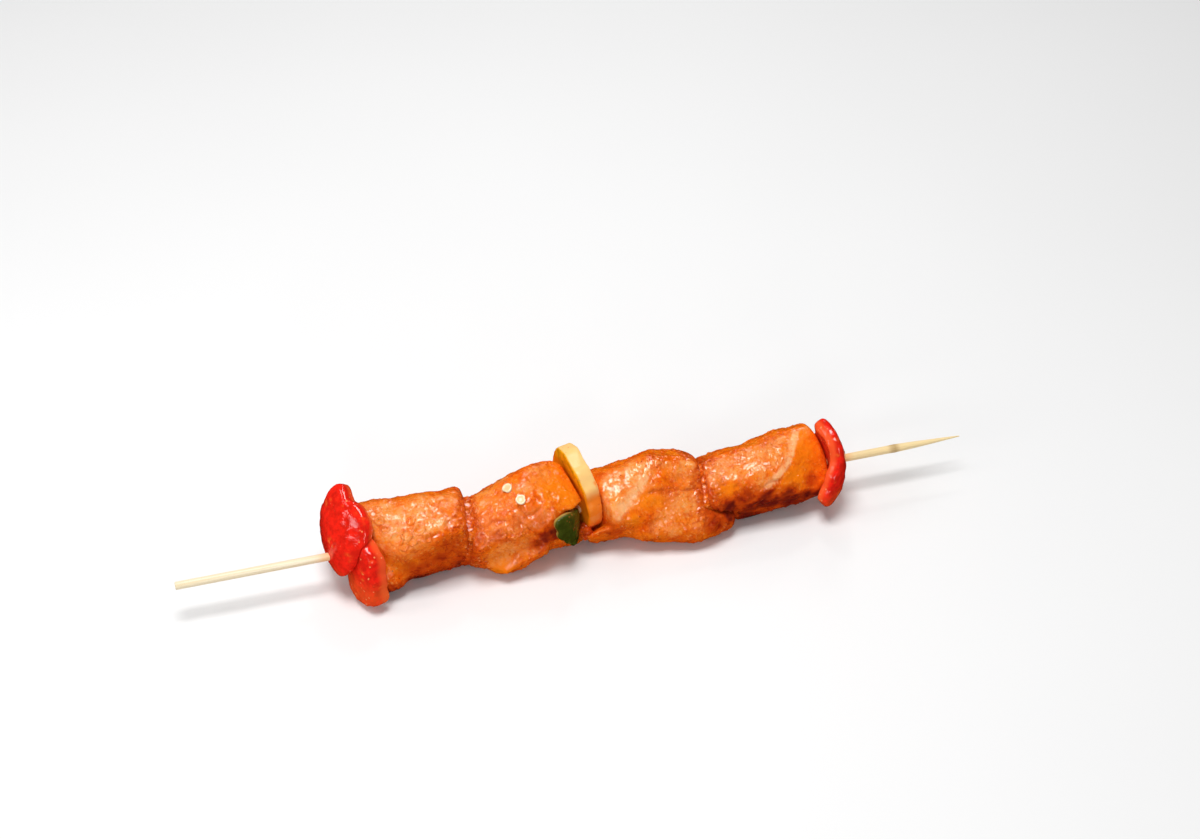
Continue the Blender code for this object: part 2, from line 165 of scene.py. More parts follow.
SLABS = {
    "pepper_red_end": {
        "bend": red_end_bend,
        "middle": (-92.0, 2.0, 5.0),
        "turned": (0, 0, 16),
        "thickness": 6.4,
        "slant": 0.0,
        "rim": 0.22,
        "outline": [
            (0, 12), (35, 14), (60, 19), (85, 15), (120, 14), (150, 13), (180, 12), (215, 12.5),
            (250, 12.5), (290, 13), (330, 13),
        ],
    },
    "pepper_red_front": {
        "bend": red_front_bend,
        "middle": (-83.8, -9.0, -3.0),
        "turned": (0, 10, 22),
        "thickness": 6.0,
        "slant": 3.0,
        "rim": 0.22,
        "outline": [
            (0, 11), (40, 13), (75, 15), (105, 13), (150, 9), (190, 9), (225, 12.5), (250, 12),
            (280, 11.5), (320, 12.5),
        ],
    },
    "pepper_green": {
        "bend": green_bend,
        "middle": (-4.6, -7.8, -1.5),
        "turned": (0, 0, -30),
        "thickness": 3.0,
        "slant": 0.0,
        "rim": 0.22,
        "outline": [
            (0, 7.5), (45, 7), (90, 9), (127, 14.5), (150, 10.5), (180, 7), (215, 5.5), (250, 7),
            (275, 8.5), (320, 7.5),
        ],
    },
    "pepper_yellow": {
        "bend": yellow_bend,
        "middle": (1.4, 4.0, 3.0),
        "turned": (0, 0, 13),
        "thickness": 6.0,
        "slant": 0.0,
        "rim": 0.06,
        "outline": [
            (0, 21), (30, 20), (62, 18.5), (90, 14.5), (125, 11.5), (155, 9.5), (190, 10.5),
            (225, 12.5), (270, 12), (315, 16),
        ],
    },
    "pepper_red_point": {
        "bend": red_point_bend,
        "middle": (98.6, -1.0, 0.4),
        "turned": (0, 0, 6),
        "thickness": 5.4,
        "slant": 0.0,
        "rim": 0.20,
        "outline": [
            (0, 10), (40, 13), (70, 18), (100, 16.5), (140, 12), (175, 12), (205, 14), (235, 14.5),
            (265, 13), (320, 11),
        ],
    },
}


def outline_radius(angle, outline):
    """The outline's radius at an angle in radians, read smoothly between (degrees, mm) pairs."""
    at = np.radians([a for a, _ in outline] + [outline[0][0] + 360])
    radii = np.array([r for _, r in outline] + [outline[0][1]], float)
    turned = np.mod(angle - at[0], 2 * math.pi) + at[0]
    i = np.clip(np.searchsorted(at, turned, side="right") - 1, 0, len(outline) - 1)
    share = (turned - at[i]) / (at[i + 1] - at[i])
    share = share * share * (3 - 2 * share)
    return radii[i] * (1 - share) + radii[i + 1] * share


def bend_slopes(slab, y, z, step):
    """How steeply a slab's middle surface rises along its y and z."""
    bend = slab["bend"]
    slope_y = (bend(y + step, z) - bend(y - step, z)) / (2 * step)
    slope_z = (bend(y, z + step) - bend(y, z - step)) / (2 * step)
    return slope_y, slope_z


def height_over_slab(p, slab):
    """Distance of points p from a slab's middle surface, carried on past its outline, along its x."""
    q = (p - np.array(slab["middle"])) @ turn(slab["turned"])
    y, z = q[..., 1], q[..., 2]
    slope_y, slope_z = bend_slopes(slab, y, z, 0.5)
    return (q[..., 0] - slab["bend"](y, z)) / np.sqrt(1 + slope_y**2 + slope_z**2)


def beside(p, name, side):
    """Positive where p is not clear of a slab's face: side is +1 for its +x side, -1 for its -x side."""
    slab = SLABS[name]
    return slab["thickness"] / 2 + CLEARANCE - side * height_over_slab(p, slab)


def notch(p, name, side):
    """Like beside, but only within the slab's outline and a margin round it."""
    slab = SLABS[name]
    q = (p - np.array(slab["middle"])) @ turn(slab["turned"])
    angle = np.arctan2(q[..., 2], q[..., 1])
    out = np.hypot(q[..., 1], q[..., 2]) - outline_radius(angle, slab["outline"])
    return smooth_min(beside(p, name, side), NOTCH_MARGIN - out, 1.0)


def beside_yellow(p, side):
    """Positive where p is not clear of the yellow slice, under which chunks 2 and 3 meet."""
    y, z = p[..., 1], p[..., 2]
    over = smooth_min(z - UNDER_YELLOW, (y + z - BEFORE_YELLOW) / math.sqrt(2), 1.0)
    meeting = MEETING_2_3 + MEETING_SLOPE * np.minimum(y + 4, 0)
    past_meeting = SEAM_MARGIN + side * (meeting - p[..., 0])
    return smooth_max(smooth_min(beside(p, "pepper_yellow", side), over, 1.0), past_meeting, 1.0)


# The chunks of chicken


def seam_1_2(p):
    """How far past the seam between chunks 1 and 2 the points p lie."""
    wave = 0.8 * np.sin(p[..., 1] / 5.5) + 0.7 * np.sin(p[..., 2] / 6.5 + 1)
    return p[..., 0] - SEAM_1_2 - wave


def seam_3_4(p):
    """How far past the seam between chunks 3 and 4 the points p lie. Chunk 4 lies on chunk 3's lobe."""
    step = LOBE_REACH * smooth_step(-p[..., 2], 0.0, 8.0)
    wave = 0.8 * np.sin(p[..., 1] / 5.5 + 2)
    return (p[..., 0] - SEAM_3_4 - step - wave) / 1.5


def chicken_1_field(p):
    body = block(
        p,
        [
            ((-0.12, -0.37, 0.92), (-69.7, -14.0, 8.4)),
            ((0.40, 0.10, 0.91), (-51, 0, 16.4)),
            ((0.185, -0.98, -0.08), (-69.7, -14.4, 7.9)),
            ((-0.64, -0.76, -0.05), (-75.0, -9.5, 9.0)),
            ((0.0, -0.78, -0.62), (-62, -11.5, -7)),
            ((0.0, 0.62, 0.78), (-62, 9, 16)),
            ((0, 1, -0.15), (-62, 15, 0)),
        ],
        3.5,
    )
    toe = ellipsoid(p, (-76.0, -6.0, -8.5), (7, 7, 6.5))
    field = smooth_min(body, toe, 3.0) + 0.6 * ripple(p, 12, 1)
    field = smooth_max(field, beside(p, "pepper_red_end", 1), 1.0)
    field = smooth_max(field, notch(p, "pepper_red_front", 1), 1.0)
    return smooth_max(field, seam_1_2(p) + SEAM_MARGIN, 1.0)


def chicken_2_field(p):
    lobe = block(
        p,
        [
            ((-0.47, -0.25, 0.84), (-27, 3, 17.2)),
            ((0.35, -0.15, 0.93), (-18, 6, 19.8)),
            ((0.0, -0.80, 0.60), (-16, -9.5, 12)),
            ((0.0, -0.92, -0.38), (-18, -13.5, 0)),
            ((-0.34, 0.75, 0.66), (-20, 11.5, 17)),
            ((0, 1, -0.1), (-20, 15, 0)),
            ((0.0, -0.3, -0.95), (-20, -6, -14.5)),
        ],
        3.5,
    )
    flap = block(
        p,
        [
            ((-0.22, -0.74, 0.63), (-32, -13.4, -6)),
            ((-0.59, -0.49, -0.64), (-32.3, -13.3, -14)),
            ((0.30, -0.71, -0.63), (-32.3, -13.3, -14)),
            ((0.0, 0.5, 0.85), (-32, -4, 5)),
            ((0.94, 0.3, 0.1), (-17, -6, -4)),
            ((0.0, 1, 0), (-30, 6, -8)),
        ],
        1.8,
    )
    field = smooth_min(lobe, flap, 1.8) + 0.5 * ripple(p, 12, 2)
    field = smooth_max(field, notch(p, "pepper_green", -1), 1.0)
    field = smooth_max(field, beside_yellow(p, -1), 2.0)
    return smooth_max(field, SEAM_MARGIN - seam_1_2(p), 1.0)


def chicken_3_field(p):
    body = block(
        p,
        [
            ((-0.113, -0.478, 0.871), (24.2, -0.9, 13.2)),
            ((0.10, -0.69, 0.72), (24.2, -0.9, 13.2)),
            ((-0.22, 0.55, 0.80), (14.3, 7, 12.8)),
            ((0.0, -0.93, -0.35), (16, -13.0, 0)),
            ((0.25, 0.45, 0.86), (40, 7, 12)),
            ((0, 1, -0.1), (25, 15, 0)),
            ((0.0, -0.5, -0.87), (20, -9, -13)),
        ],
        2.5,
    )
    lobe = ellipsoid(p, (38, -6.5, -8.0), (23, 10.4, 8.4), (0, 3, 0))
    field = smooth_min(body, lobe, 2.0) + 0.5 * ripple(p, 12, 3)
    field = smooth_max(field, beside_yellow(p, 1), 2.0)
    return smooth_max(field, seam_3_4(p) + SEAM_MARGIN, 1.0)


def chicken_4_field(p):
    body = block(
        p,
        [
            ((-0.073, -0.241, 0.968), (62.1, 0, 10.6)),
            ((0.0, -0.88, 0.47), (60, -10.5, 5.5)),
            ((0.0, -0.93, -0.37), (66, -13.6, 0)),
            ((0.42, -0.66, 0.62), (79.9, -6, 10.4)),
            ((-0.17, 0.60, 0.76), (80, 8, 13.4)),
            ((0, 1, -0.1), (70, 15, 0)),
            ((0.30, -0.30, -0.91), (74, -5, -16.2)),
        ],
        2.5,
    )
    field = body + 0.5 * ripple(p, 12, 4)
    field = smooth_max(field, beside(p, "pepper_red_point", -1), 1.0)
    return smooth_max(field, SEAM_MARGIN - seam_3_4(p), 1.0)


CHUNKS = {
    "chicken_1": {"field": chicken_1_field, "middle": (-64, 0, 0)},
    "chicken_2": {"field": chicken_2_field, "middle": (-24, -2, -1)},
    "chicken_3": {"field": chicken_3_field, "middle": (28, -2, -2)},
    "chicken_4": {"field": chicken_4_field, "middle": (70, 0, 0)},
}


def on_table(p, field):
    """The field cut off flat at the table."""
    return np.maximum(field, -AXIS_HEIGHT - p[..., 2])


def cast(field, middle, directions, reach=45.0, steps=50):
    """The first crossing of the field's skin along each direction from the middle."""
    far = np.linspace(0, reach, steps)
    points = np.array(middle)[..., None, :] + directions[:, None, :] * far[None, :, None]
    outside = on_table(points, field(points)) > 0
    first = np.argmax(outside, axis=1)
    low, high = far[first - 1], far[first]
    for _ in range(14):
        half = (low + high) / 2
        points = np.array(middle) + directions * half[:, None]
        out = on_table(points, field(points)) > 0
        high = np.where(out, half, high)
        low = np.where(out, low, half)
    return np.array(middle) + directions * ((low + high) / 2)[:, None]


# Placing in the frame: the skewer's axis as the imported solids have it
STICK_LOW, STICK_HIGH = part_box("stick")
AXIS_PLACE = (np.array(STICK_LOW) + np.array(STICK_HIGH)) / 2

# Fineness of the dressed meshes
FINE_GRID = 116
FINE_SPOKES = 144
FINE_FLAT_RINGS = 16
FINE_RIM_RINGS = 10
FINE_STICK_SIDES = 40

# How far below the axis, in mm, the marinade starts and is full on a slice, and the painted shade on a
# chunk
LOW_ON = {"pepper_yellow": (-13.5, -7.5), "pepper_green": (6, 16)}
USUAL_LOW = (-1, 8)
CHUNK_SHADE_LOW = (-5, 11)

# How square the cut rims of the slices are: 1 is round
RIM_SQUARENESS = {"pepper_yellow": 0.45}
USUAL_SQUARENESS = 0.55

# How far from a hidden face the relief starts and is full, in mm
FREE_FROM, FREE_TO = 0.15, 1.8

# Relief: (height, size) of each layer of bumps, in mm
BROAD_LUMPS, SMALL_LUMPS = (0.50, 7.0), (0.28, 3.4)
FILM_WAVES, FILM_CURLS, FILM_DROPS = (0.17, 2.6), (0.09, 2.3), (0.28, 1.8)
PASTE_CLOTS, PASTE_GRAINS = (0.8, 2.0), (0.35, 1.0)
BEAD_CLOTS, BEAD_GRAINS = (1.3, 2.4), (0.5, 1.0)
LUMP_CLOTS, LUMP_GRAINS = (0.9, 2.0), (0.4, 1.0)
PEPPER_LUMPS, PEPPER_WAVES = (0.26, 5.0), (0.12, 2.2)
PEPPER_CLOTS, PEPPER_DROPS = (0.34, 1.5), (0.20, 1.7)
FIBRE_HEIGHT, FIBRE_LENGTH, FIBRE_WIDTH = 0.10, 9.0, 1.25
CURL_SHARE, DROP_FILL, PEPPER_DROP_FILL = 0.30, 0.40, 0.36
RING_HEIGHT, RING_WIDTH, RING_DIP = 0.34, 0.40, 0.22


def in_place(points):
    """Places from the middle of the skewer's axis in mm, as places in the frame in metres."""
    return np.asarray(points) * MM + AXIS_PLACE


def hashed(cell, seed):
    """A number between 0 and 1 for each whole-number cell."""
    mixed = cell[..., 0] * 73856093 ^ cell[..., 1] * 19349663 ^ cell[..., 2] * 83492791
    mixed = (mixed ^ (seed * 2654435761)) & 0xFFFFFFFF
    mixed = ((mixed ^ (mixed >> 13)) * 1274126177) & 0xFFFFFFFF
    return ((mixed ^ (mixed >> 16)) & 0xFFFFFFFF) / 2.0**32


def noise(p, seed):
    """Smooth noise between about -1 and 1, with bumps about 1 apart."""
    cell = np.floor(p).astype(np.int64)
    inside = p - cell
    weight = inside**3 * (inside * (inside * 6 - 15) + 10)
    total = np.zeros(p.shape[:-1])
    for corner in itertools.product((0, 1), repeat=3):
        share = hashed(cell + np.array(corner), seed)
        turned = share * 14 * math.pi
        up = 2 * np.mod(share * 57.31, 1) - 1
        flat = np.sqrt(1 - up * up)
        offset = inside - np.array(corner)
        slope = flat * (np.cos(turned) * offset[..., 0] + np.sin(turned) * offset[..., 1])
        slope = slope + up * offset[..., 2]
        near = np.where(np.array(corner, bool), weight, 1 - weight).prod(axis=-1)
        total += near * slope
    return total * 1.6


def cells(p, seed):
    """(distance to the nearest of scattered points about 1 apart, that point's number from 0 to 1)."""
    cell = np.floor(p).astype(np.int64)
    nearest = np.full(p.shape[:-1], 9.0)
    number = np.zeros(p.shape[:-1])
    for offset in itertools.product((-1, 0, 1), repeat=3):
        there = cell + np.array(offset)
        point = there + np.stack([hashed(there, seed + i) for i in (0, 11, 23)], axis=-1)
        distance = np.linalg.norm(point - p, axis=-1)
        closer = distance < nearest
        nearest = np.where(closer, distance, nearest)
        number = np.where(closer, hashed(there, seed + 37), number)
    return nearest, number


def domes(p, seed, fill=0.75):
    """Round bumps of uneven height between 0 and 1, about 1 apart."""
    nearest, number = cells(p, seed)
    return np.clip(1 - (nearest / fill) ** 2, 0, 1) * number


def waves(p, layer, seed):
    """Smooth relief of a (height, size) layer."""
    height, size = layer
    return height * noise(p / size, seed)


def bumps(p, layer, seed, fill=0.75):
    """Round bumps of a (height, size) layer."""
    height, size = layer
    return height * domes(p / size, seed, fill)


def near_line(p, ends, spread=1.0):
    """Distance of points p from a bent line. On its -X side the distance counts spread times less."""
    nearest = np.full(p.shape[:-1], 1e9)
    for start, end in zip(ends, ends[1:]):
        start, run = np.array(start, float), np.array(end, float) - np.array(start, float)
        share = np.clip(((p - start) @ run) / (run @ run), 0, 1)
        away = p - start - share[..., None] * run
        distance = np.linalg.norm(away, axis=-1)
        nearest = np.minimum(nearest, np.where(away[..., 0] < 0, distance / spread, distance))
    return nearest


def ring_faces(rings, spokes, start=0, closed=False, outward=True):
    """Four-sided faces between neighbouring rings of points, and from last to first if closed."""
    faces = []
    for ring in range(rings if closed else rings - 1):
        near, far = start + ring * spokes, start + (ring + 1) % rings * spokes
        for i in range(spokes):
            j = (i + 1) % spokes
            if outward:
                faces.append(np.array([near + i, far + i, far + j, near + j]))
            else:
                faces.append(np.array([near + i, near + j, far + j, far + i]))
    return faces


def numbered_mesh(name, points, faces):
    """A smooth mesh object from arrays of places in mm and of faces."""
    mesh = bpy.data.meshes.new(name)
    mesh.from_pydata([], [], [])
    mesh.vertices.add(len(points))
    mesh.vertices.foreach_set("co", in_place(points).ravel())
    sizes = np.array([len(face) for face in faces])
    mesh.loops.add(int(sizes.sum()))
    mesh.loops.foreach_set("vertex_index", np.concatenate(faces).astype(np.int32))
    mesh.polygons.add(len(faces))
    starts = np.concatenate([[0], np.cumsum(sizes)[:-1]])
    mesh.polygons.foreach_set("loop_start", starts.astype(np.int32))
    mesh.update(calc_edges=True)
    mesh.validate()
    mesh.shade_smooth()
    made = bpy.data.objects.new(name, mesh)
    bpy.context.scene.collection.objects.link(made)
    return made


def normals_of(made):
    found = np.zeros(len(made.data.vertices) * 3)
    made.data.vertex_normals.foreach_get("vector", found)
    return found.reshape(-1, 3)


def paint(made, **masks):
    """Stores masks between 0 and 1 on the vertices, for the material to read."""
    for name, values in masks.items():
        layer = made.data.attributes.new(name, "FLOAT", "POINT")
        layer.data.foreach_set("value", np.clip(values, 0, 1).astype(np.float32))


def move_out(made, points, height):
    """Moves each vertex out along its normal by a height in mm."""
    moved = points + normals_of(made) * height[:, None]
    moved[:, 2] = np.maximum(moved[:, 2], -AXIS_HEIGHT)
    made.data.vertices.foreach_set("co", in_place(moved).ravel())
    made.data.update()
    return moved


# The dressed chunks of chicken


def cuts_of(name, p):
    """How far past the nearest hidden face of a chunk the points p lie: a neighbour, or the table."""
    table = -AXIS_HEIGHT - p[..., 2]
    if name == "chicken_1":
        others = [beside(p, "pepper_red_end", 1), notch(p, "pepper_red_front", 1), seam_1_2(p)]
    elif name == "chicken_2":
        others = [notch(p, "pepper_green", -1), beside_yellow(p, -1), -seam_1_2(p)]
    elif name == "chicken_3":
        others = [beside_yellow(p, 1), seam_3_4(p)]
    else:
        others = [beside(p, "pepper_red_point", -1), -seam_3_4(p)]
    return np.max([table, *others], axis=0)


def seams_of(name, p):
    """Distance of points p from the seam with the next chunk."""
    return np.abs(seam_1_2(p) if name in ("chicken_1", "chicken_2") else seam_3_4(p))


# As cosines: the facings where pale meat with painted sheen starts and is full, and where the painted
# shade of the underside ends and starts
PALE_SHEEN_FACING = (0.93, 0.99)
UNDERSIDE = (-0.20, 0.70)

# How far from a seam the painted shade is full and ends, and the paste, in mm
SEAM_SHADE = (0.5, 5.0)
SEAM_PASTE = (2.0, 8.0)

# Each chunk: the way its fibres run; its creases as (line, width, depth); the facings where pale meat with
# painted sheen shows, with how strongly; painted highlight streaks along ridges as (line, width, spread,
# strength);
# how strong the painted shade is low down, and how far below the axis that starts and is full; and the
# rings of burst bubbles as (place, radius)
LOOKS = {
    "chicken_1": {
        "seed": 101,
        "grain": (0.85, 0.50, 0.15),
        "creases": [([(-61.5, -9.8, 8.3), (-54.2, -7.7, 10.9), (-47.2, -3.8, 11.8)], 1.0, 0.5)],
        "pale": [((-0.12, -0.37, 0.92), 0.95), ((0.40, 0.10, 0.91), 0.25)],
        "dark": 0.9,
        "rings": [
            ((-70.1, -6.6, 9.2), 2.2), ((-66.3, -6.2, 10.1), 1.8), ((-65.0, -8.3, 9.0), 1.6),
            ((-68.2, -8.9, 7.8), 1.5), ((-61.6, -5.7, 11.4), 1.9), ((-74.8, 0.9, 12.5), 1.3),
            ((-63.8, -2.0, 12.4), 1.3), ((-73.2, -2.3, 11.1), 1.1), ((-59.3, -9.0, 9.7), 1.2),
            ((-74.6, 5.1, 14.0), 1.1),
        ],
    },
    "chicken_2": {
        "seed": 202,
        "grain": (0.6, 0.35, 0.7),
        "creases": [
            ([(-24.5, -9.2, 9.2), (-21.1, -12.1, 5.3), (-17.5, -14.1, -3.5)], 1.1, 0.9),
            ([(-24.9, -5.5, 12.9), (-21.3, -7.5, 11.5), (-17.1, -7.5, 11.7)], 0.8, 0.6),
            ([(-40.6, -6.7, 5.1), (-34.8, -5.9, 8.5), (-29.9, -8.5, 9.0)], 1.0, 0.5),
        ],
        "pale": [((-0.47, -0.25, 0.84), 0.3), ((-0.22, -0.74, 0.63), 0.35)],
        "dark": 0.3,
    },
    "chicken_3": {
        "seed": 303,
        "grain": (0.5, -0.6, -0.6),
        "creases": [([(24.3, -5.5, 7.3), (33.9, -6.0, 5.6), (43.4, -5.2, 4.7)], 1.2, 0.6)],
        "pale": [((-0.113, -0.478, 0.871), 1.0)],
        "bands": [([(24.2, -0.9, 13.2), (17.5, -6.0, 8.8), (11.4, -11.0, 4.0)], 1.2, 3.0, 0.8)],
        "dark": 0.35,
    },
    "chicken_4": {
        "seed": 404,
        "grain": (0.9, 0.1, 0.3),
        "creases": [
            ([(46.8, -1.5, 4.0), (54.8, -7.8, 6.2), (64.5, -9.5, 4.4), (73.0, -10.2, 3.9)], 1.1, 0.35),
        ],
        "pale": [((-0.073, -0.241, 0.968), 0.75)],
        "bands": [([(87.9, 7.0, 14.0), (79.9, -6.1, 10.0), (69.6, -11.0, 4.0)], 1.1, 2.4, 0.9)],
        "dark": 1.0,
        "low": (-4.5, 2.5),
    },
}


# Painted marks on each chunk, by kind: (place, radius, strength). A pale mark is pale meat with painted
# sheen, and the darkening marks are painted shade. A clear mark is bright marinade with little paste, pale
# meat, sheen or underside shade, and a plain one only takes those off.
MARKS = {
    ("chicken_1", "pale"): [
        ((-74.5, 2.1, 13.1), 9, 0.9), ((-72.0, -4.9, 9.9), 7, 0.8), ((-69.8, -9.8, 5.6), 5, 0.35),
        ((-60.3, 1.5, 13.8), 8, 0.8), ((-66.0, -5.0, 10.6), 9, 0.95), ((-50.5, 3.1, 13.4), 5, 0.5),
    ],
    ("chicken_1", "deep"): [
        ((-52.2, -9.0, 1.8), 8, 0.55), ((-60.8, -10.0, -0.7), 6, 0.5), ((-66.4, -10.3, -2.7), 5, 0.6),
        ((-48.9, -7.9, -5.3), 6, 0.6), ((-55.2, -9.3, -2.0), 6, 0.7), ((-62.4, -10.1, -4.1), 5, 0.7),
    ],
    ("chicken_1", "paste"): [
        ((-48.1, -7.7, 10.1), 6, 1), ((-46.8, -8.3, -1.5), 6, 1),
    ],
    ("chicken_2", "pale"): [
        ((-35.0, 5.3, 10.9), 6, 0.6), ((-28.3, 10.3, 12.0), 5, 0.5), ((-30.9, -11.6, -1.4), 5, 0.7),
        ((-35.2, -11.8, -5.0), 4, 0.6), ((-35.3, -8.2, 7.2), 4, 0.5), ((-24.0, -12.1, 0.2), 4, 0.4),
        ((-22.1, 0.2, 15.6), 4, 0.5), ((-15.0, 6.7, 16.0), 5, 0.5),
    ],
    ("chicken_2", "deep"): [
        ((-12.7, -11.6, 2.5), 6, 1), ((-16.5, -12.6, 1.7), 5, 0.9), ((-19.2, -10.1, 8.7), 5, 0.5),
        ((-20.0, -12.6, -0.4), 5, 0.8), ((-25.8, -9.0, 9.3), 4, 0.4), ((-34.6, -10.6, 5.5), 4, 0.6),
        ((-40.9, -7.9, 4.5), 5, 0.5),
    ],
    ("chicken_2", "paste"): [
        ((-38.7, -10.2, 4.3), 4, 1), ((-41.2, -3.4, 5.8), 5, 1), ((-42.9, -10.1, 1.4), 5, 1),
        ((-30.6, -11.4, 5.2), 4, 0.9), ((-23.8, -11.7, 5.7), 4, 0.8), ((-27.2, -6.2, 11.8), 4, 0.7),
    ],
    ("chicken_2", "clear"): [
        ((-10.7, 1.7, 14.0), 7, 1), ((-6.3, -3.2, 11.8), 6, 1), ((-33.6, -13.6, -7.6), 5, 1),
    ],
    ("chicken_3", "pale"): [
        ((12.6, -0.4, 10.0), 6, 0.9), ((9.4, -7.2, 5.8), 6, 0.9), ((20.6, 3.0, 12.4), 5, 0.8),
        ((41.9, -3.0, 6.9), 4, 0.3), ((41.3, 0.2, 9.7), 4, 0.6), ((29.3, -12.5, -0.1), 5, 0.5),
        ((41.3, -15.6, -2.2), 5, 0.4), ((31.1, -16.3, -4.6), 4, 0.6), ((24.7, -13.9, -3.4), 3, 0.6),
    ],
    ("chicken_3", "deep"): [
        ((48.5, -16.0, -5.7), 6, 0.8), ((54.7, -12.2, -6.3), 5, 1), ((24.3, -15.4, -6.7), 4, 0.3),
        ((10.2, -9.8, -5.6), 5, 0.6), ((31.6, -8.9, 3.6), 4, 0.4), ((49.7, -7.0, -3.2), 5, 0.7),
    ],
    ("chicken_3", "paste"): [
        ((44.6, -6.3, 3.5), 5, 1), ((46.9, -11.2, -2.1), 5, 1), ((12.7, -11.0, -3.0), 5, 0.9),
        ((32.5, -5.8, 6.1), 4, 0.7), ((29.8, 5.3, 13.6), 5, 0.9),
    ],
    ("chicken_3", "clear"): [
        ((22.2, -7.0, 6.2), 5, 1), ((16.6, -12.1, 1.0), 4, 0.9), ((27.5, -8.5, 4.3), 4, 0.8),
    ],
    ("chicken_3", "plain"): [
        ((30.0, -1.9, 9.8), 6, 1),
    ],
    ("chicken_4", "pale"): [
        ((50.4, -3.1, 7.6), 5, 0.8), ((59.1, -3.1, 8.4), 5, 0.8), ((67.0, -0.7, 9.9), 5, 0.6),
        ((67.5, -8.8, 5.9), 5, 0.6),
    ],
    ("chicken_4", "deep"): [
        ((59.8, -11.2, 0.4), 6, 0.8), ((68.4, -11.6, -0.5), 6, 0.9), ((77.2, -11.5, -0.9), 5, 0.9),
        ((86.9, -8.6, 0.6), 4, 0.6), ((54.0, -11.6, -1.6), 5, 1),
    ],
    ("chicken_4", "paste"): [
        ((74.3, 4.1, 11.2), 5, 0.8), ((61.1, 3.4, 9.3), 5, 0.8),
    ],
    ("chicken_4", "clear"): [
        ((86.7, -0.9, 8.9), 8, 1), ((80.8, -8.5, 4.0), 6, 1), ((53.0, -9.1, 5.1), 4, 0.9),
    ],
}


def grid_ball(grid):
    """Directions out of a gridded cube's corners, and its faces."""
    bm = bmesh.new()
    bmesh.ops.create_cube(bm, size=2)
    bmesh.ops.subdivide_edges(bm, edges=bm.edges, cuts=grid - 1, use_grid_fill=True)
    corners = np.array([v.co[:] for v in bm.verts])
    faces = [np.array([v.index for v in f.verts]) for f in bm.faces]
    bm.free()
    spread = np.tan(corners * math.pi / 4)
    return spread / np.linalg.norm(spread, axis=1)[:, None], faces


def marinade_cover(p, facing, near_seam, seed):
    """Where thick marinade paste sticks: in the seams, low down and in patches, between 0 and 1."""
    patches = 0.65 * noise(p / 8.0, seed) + 0.45 * noise(p / 3.2, seed + 1)
    low = smooth_step(-p[:, 2], -2, 12)
    seam = 1 - smooth_step(near_seam, *SEAM_PASTE)
    return smooth_step(patches + 0.55 * low + 1.1 * seam - 0.25 * facing, 0.35, 1.0)


def on_skin(spec, places):
    """The places moved onto the chunk's skin, straight out from its middle."""
    outward = np.array(places, float) - np.array(spec["middle"])
    return cast(spec["field"], spec["middle"], outward / np.linalg.norm(outward, axis=1)[:, None])


def filled_in(ends, parts=8):
    """A bent line with more places along it."""
    places = []
    for start, end in zip(ends, ends[1:]):
        for share in np.arange(parts) / parts:
            places.append(np.array(start) * (1 - share) + np.array(end) * share)
    return [*places, np.array(ends[-1])]


def marked(name, kind, p, seed):
    """How strongly the points p lie in the painted marks of one kind, between 0 and 1."""
    share = np.zeros(len(p))
    ragged = noise(p / 3.0, seed) + 0.6 * noise(p / 1.3, seed + 1)
    for place, radius, strength in MARKS.get((name, kind), ()):
        middle = on_skin(CHUNKS[name], [place])[0]
        away = np.linalg.norm(p - middle, axis=1) + 0.18 * radius * ragged
        share = np.maximum(share, strength * (1 - smooth_step(away, 0.2 * radius, 1.35 * radius)))
    return share


def ring_relief(p, spec, rings, seed):
    """(height, edge) of the low rings of burst bubbles in the marinade."""
    height, edge = np.zeros(len(p)), np.zeros(len(p))
    for place, radius in rings:
        out = np.linalg.norm(p - on_skin(spec, [place])[0], axis=1) + 0.25 * noise(p / 1.6, seed)
        height += RING_HEIGHT * np.exp(-(((out - radius) / RING_WIDTH) ** 2))
        height -= RING_DIP * (1 - smooth_step(out, 0.4 * radius, radius))
        edge = np.maximum(edge, np.exp(-(((out - radius - 0.45) / 0.35) ** 2)))
    return height, edge


def crease_relief(p, spec, creases, seed):
    """How strongly the points p lie in the creases, and the creases' depth there, in mm."""
    inside, depth = np.zeros(len(p)), np.zeros(len(p))
    for ends, width, deepest in creases:
        near = near_line(p + 1.6 * noise(p / 6.0, seed + 1)[:, None], on_skin(spec, filled_in(ends)))
        groove = np.exp(-(((near + 0.5 * noise(p / 2.5, seed)) / width) ** 2))
        groove *= smooth_step(noise(p / 4.0, seed + 2), -0.6, 0.1)
        inside = np.maximum(inside, groove)
        depth = np.maximum(depth, deepest * groove)
    return inside, depth


def band_mask(p, spec, bands, seed):
    """How strongly the points p lie in the painted highlight streaks along the ridges."""
    band = np.zeros(len(p))
    for ends, width, spread, strength in bands:
        near = near_line(p, on_skin(spec, filled_in(ends)), spread) + 0.4 * noise(p / 2.5, seed)
        band = np.maximum(band, strength * (1 - smooth_step(near, 0.2 * width, width)))
    return band


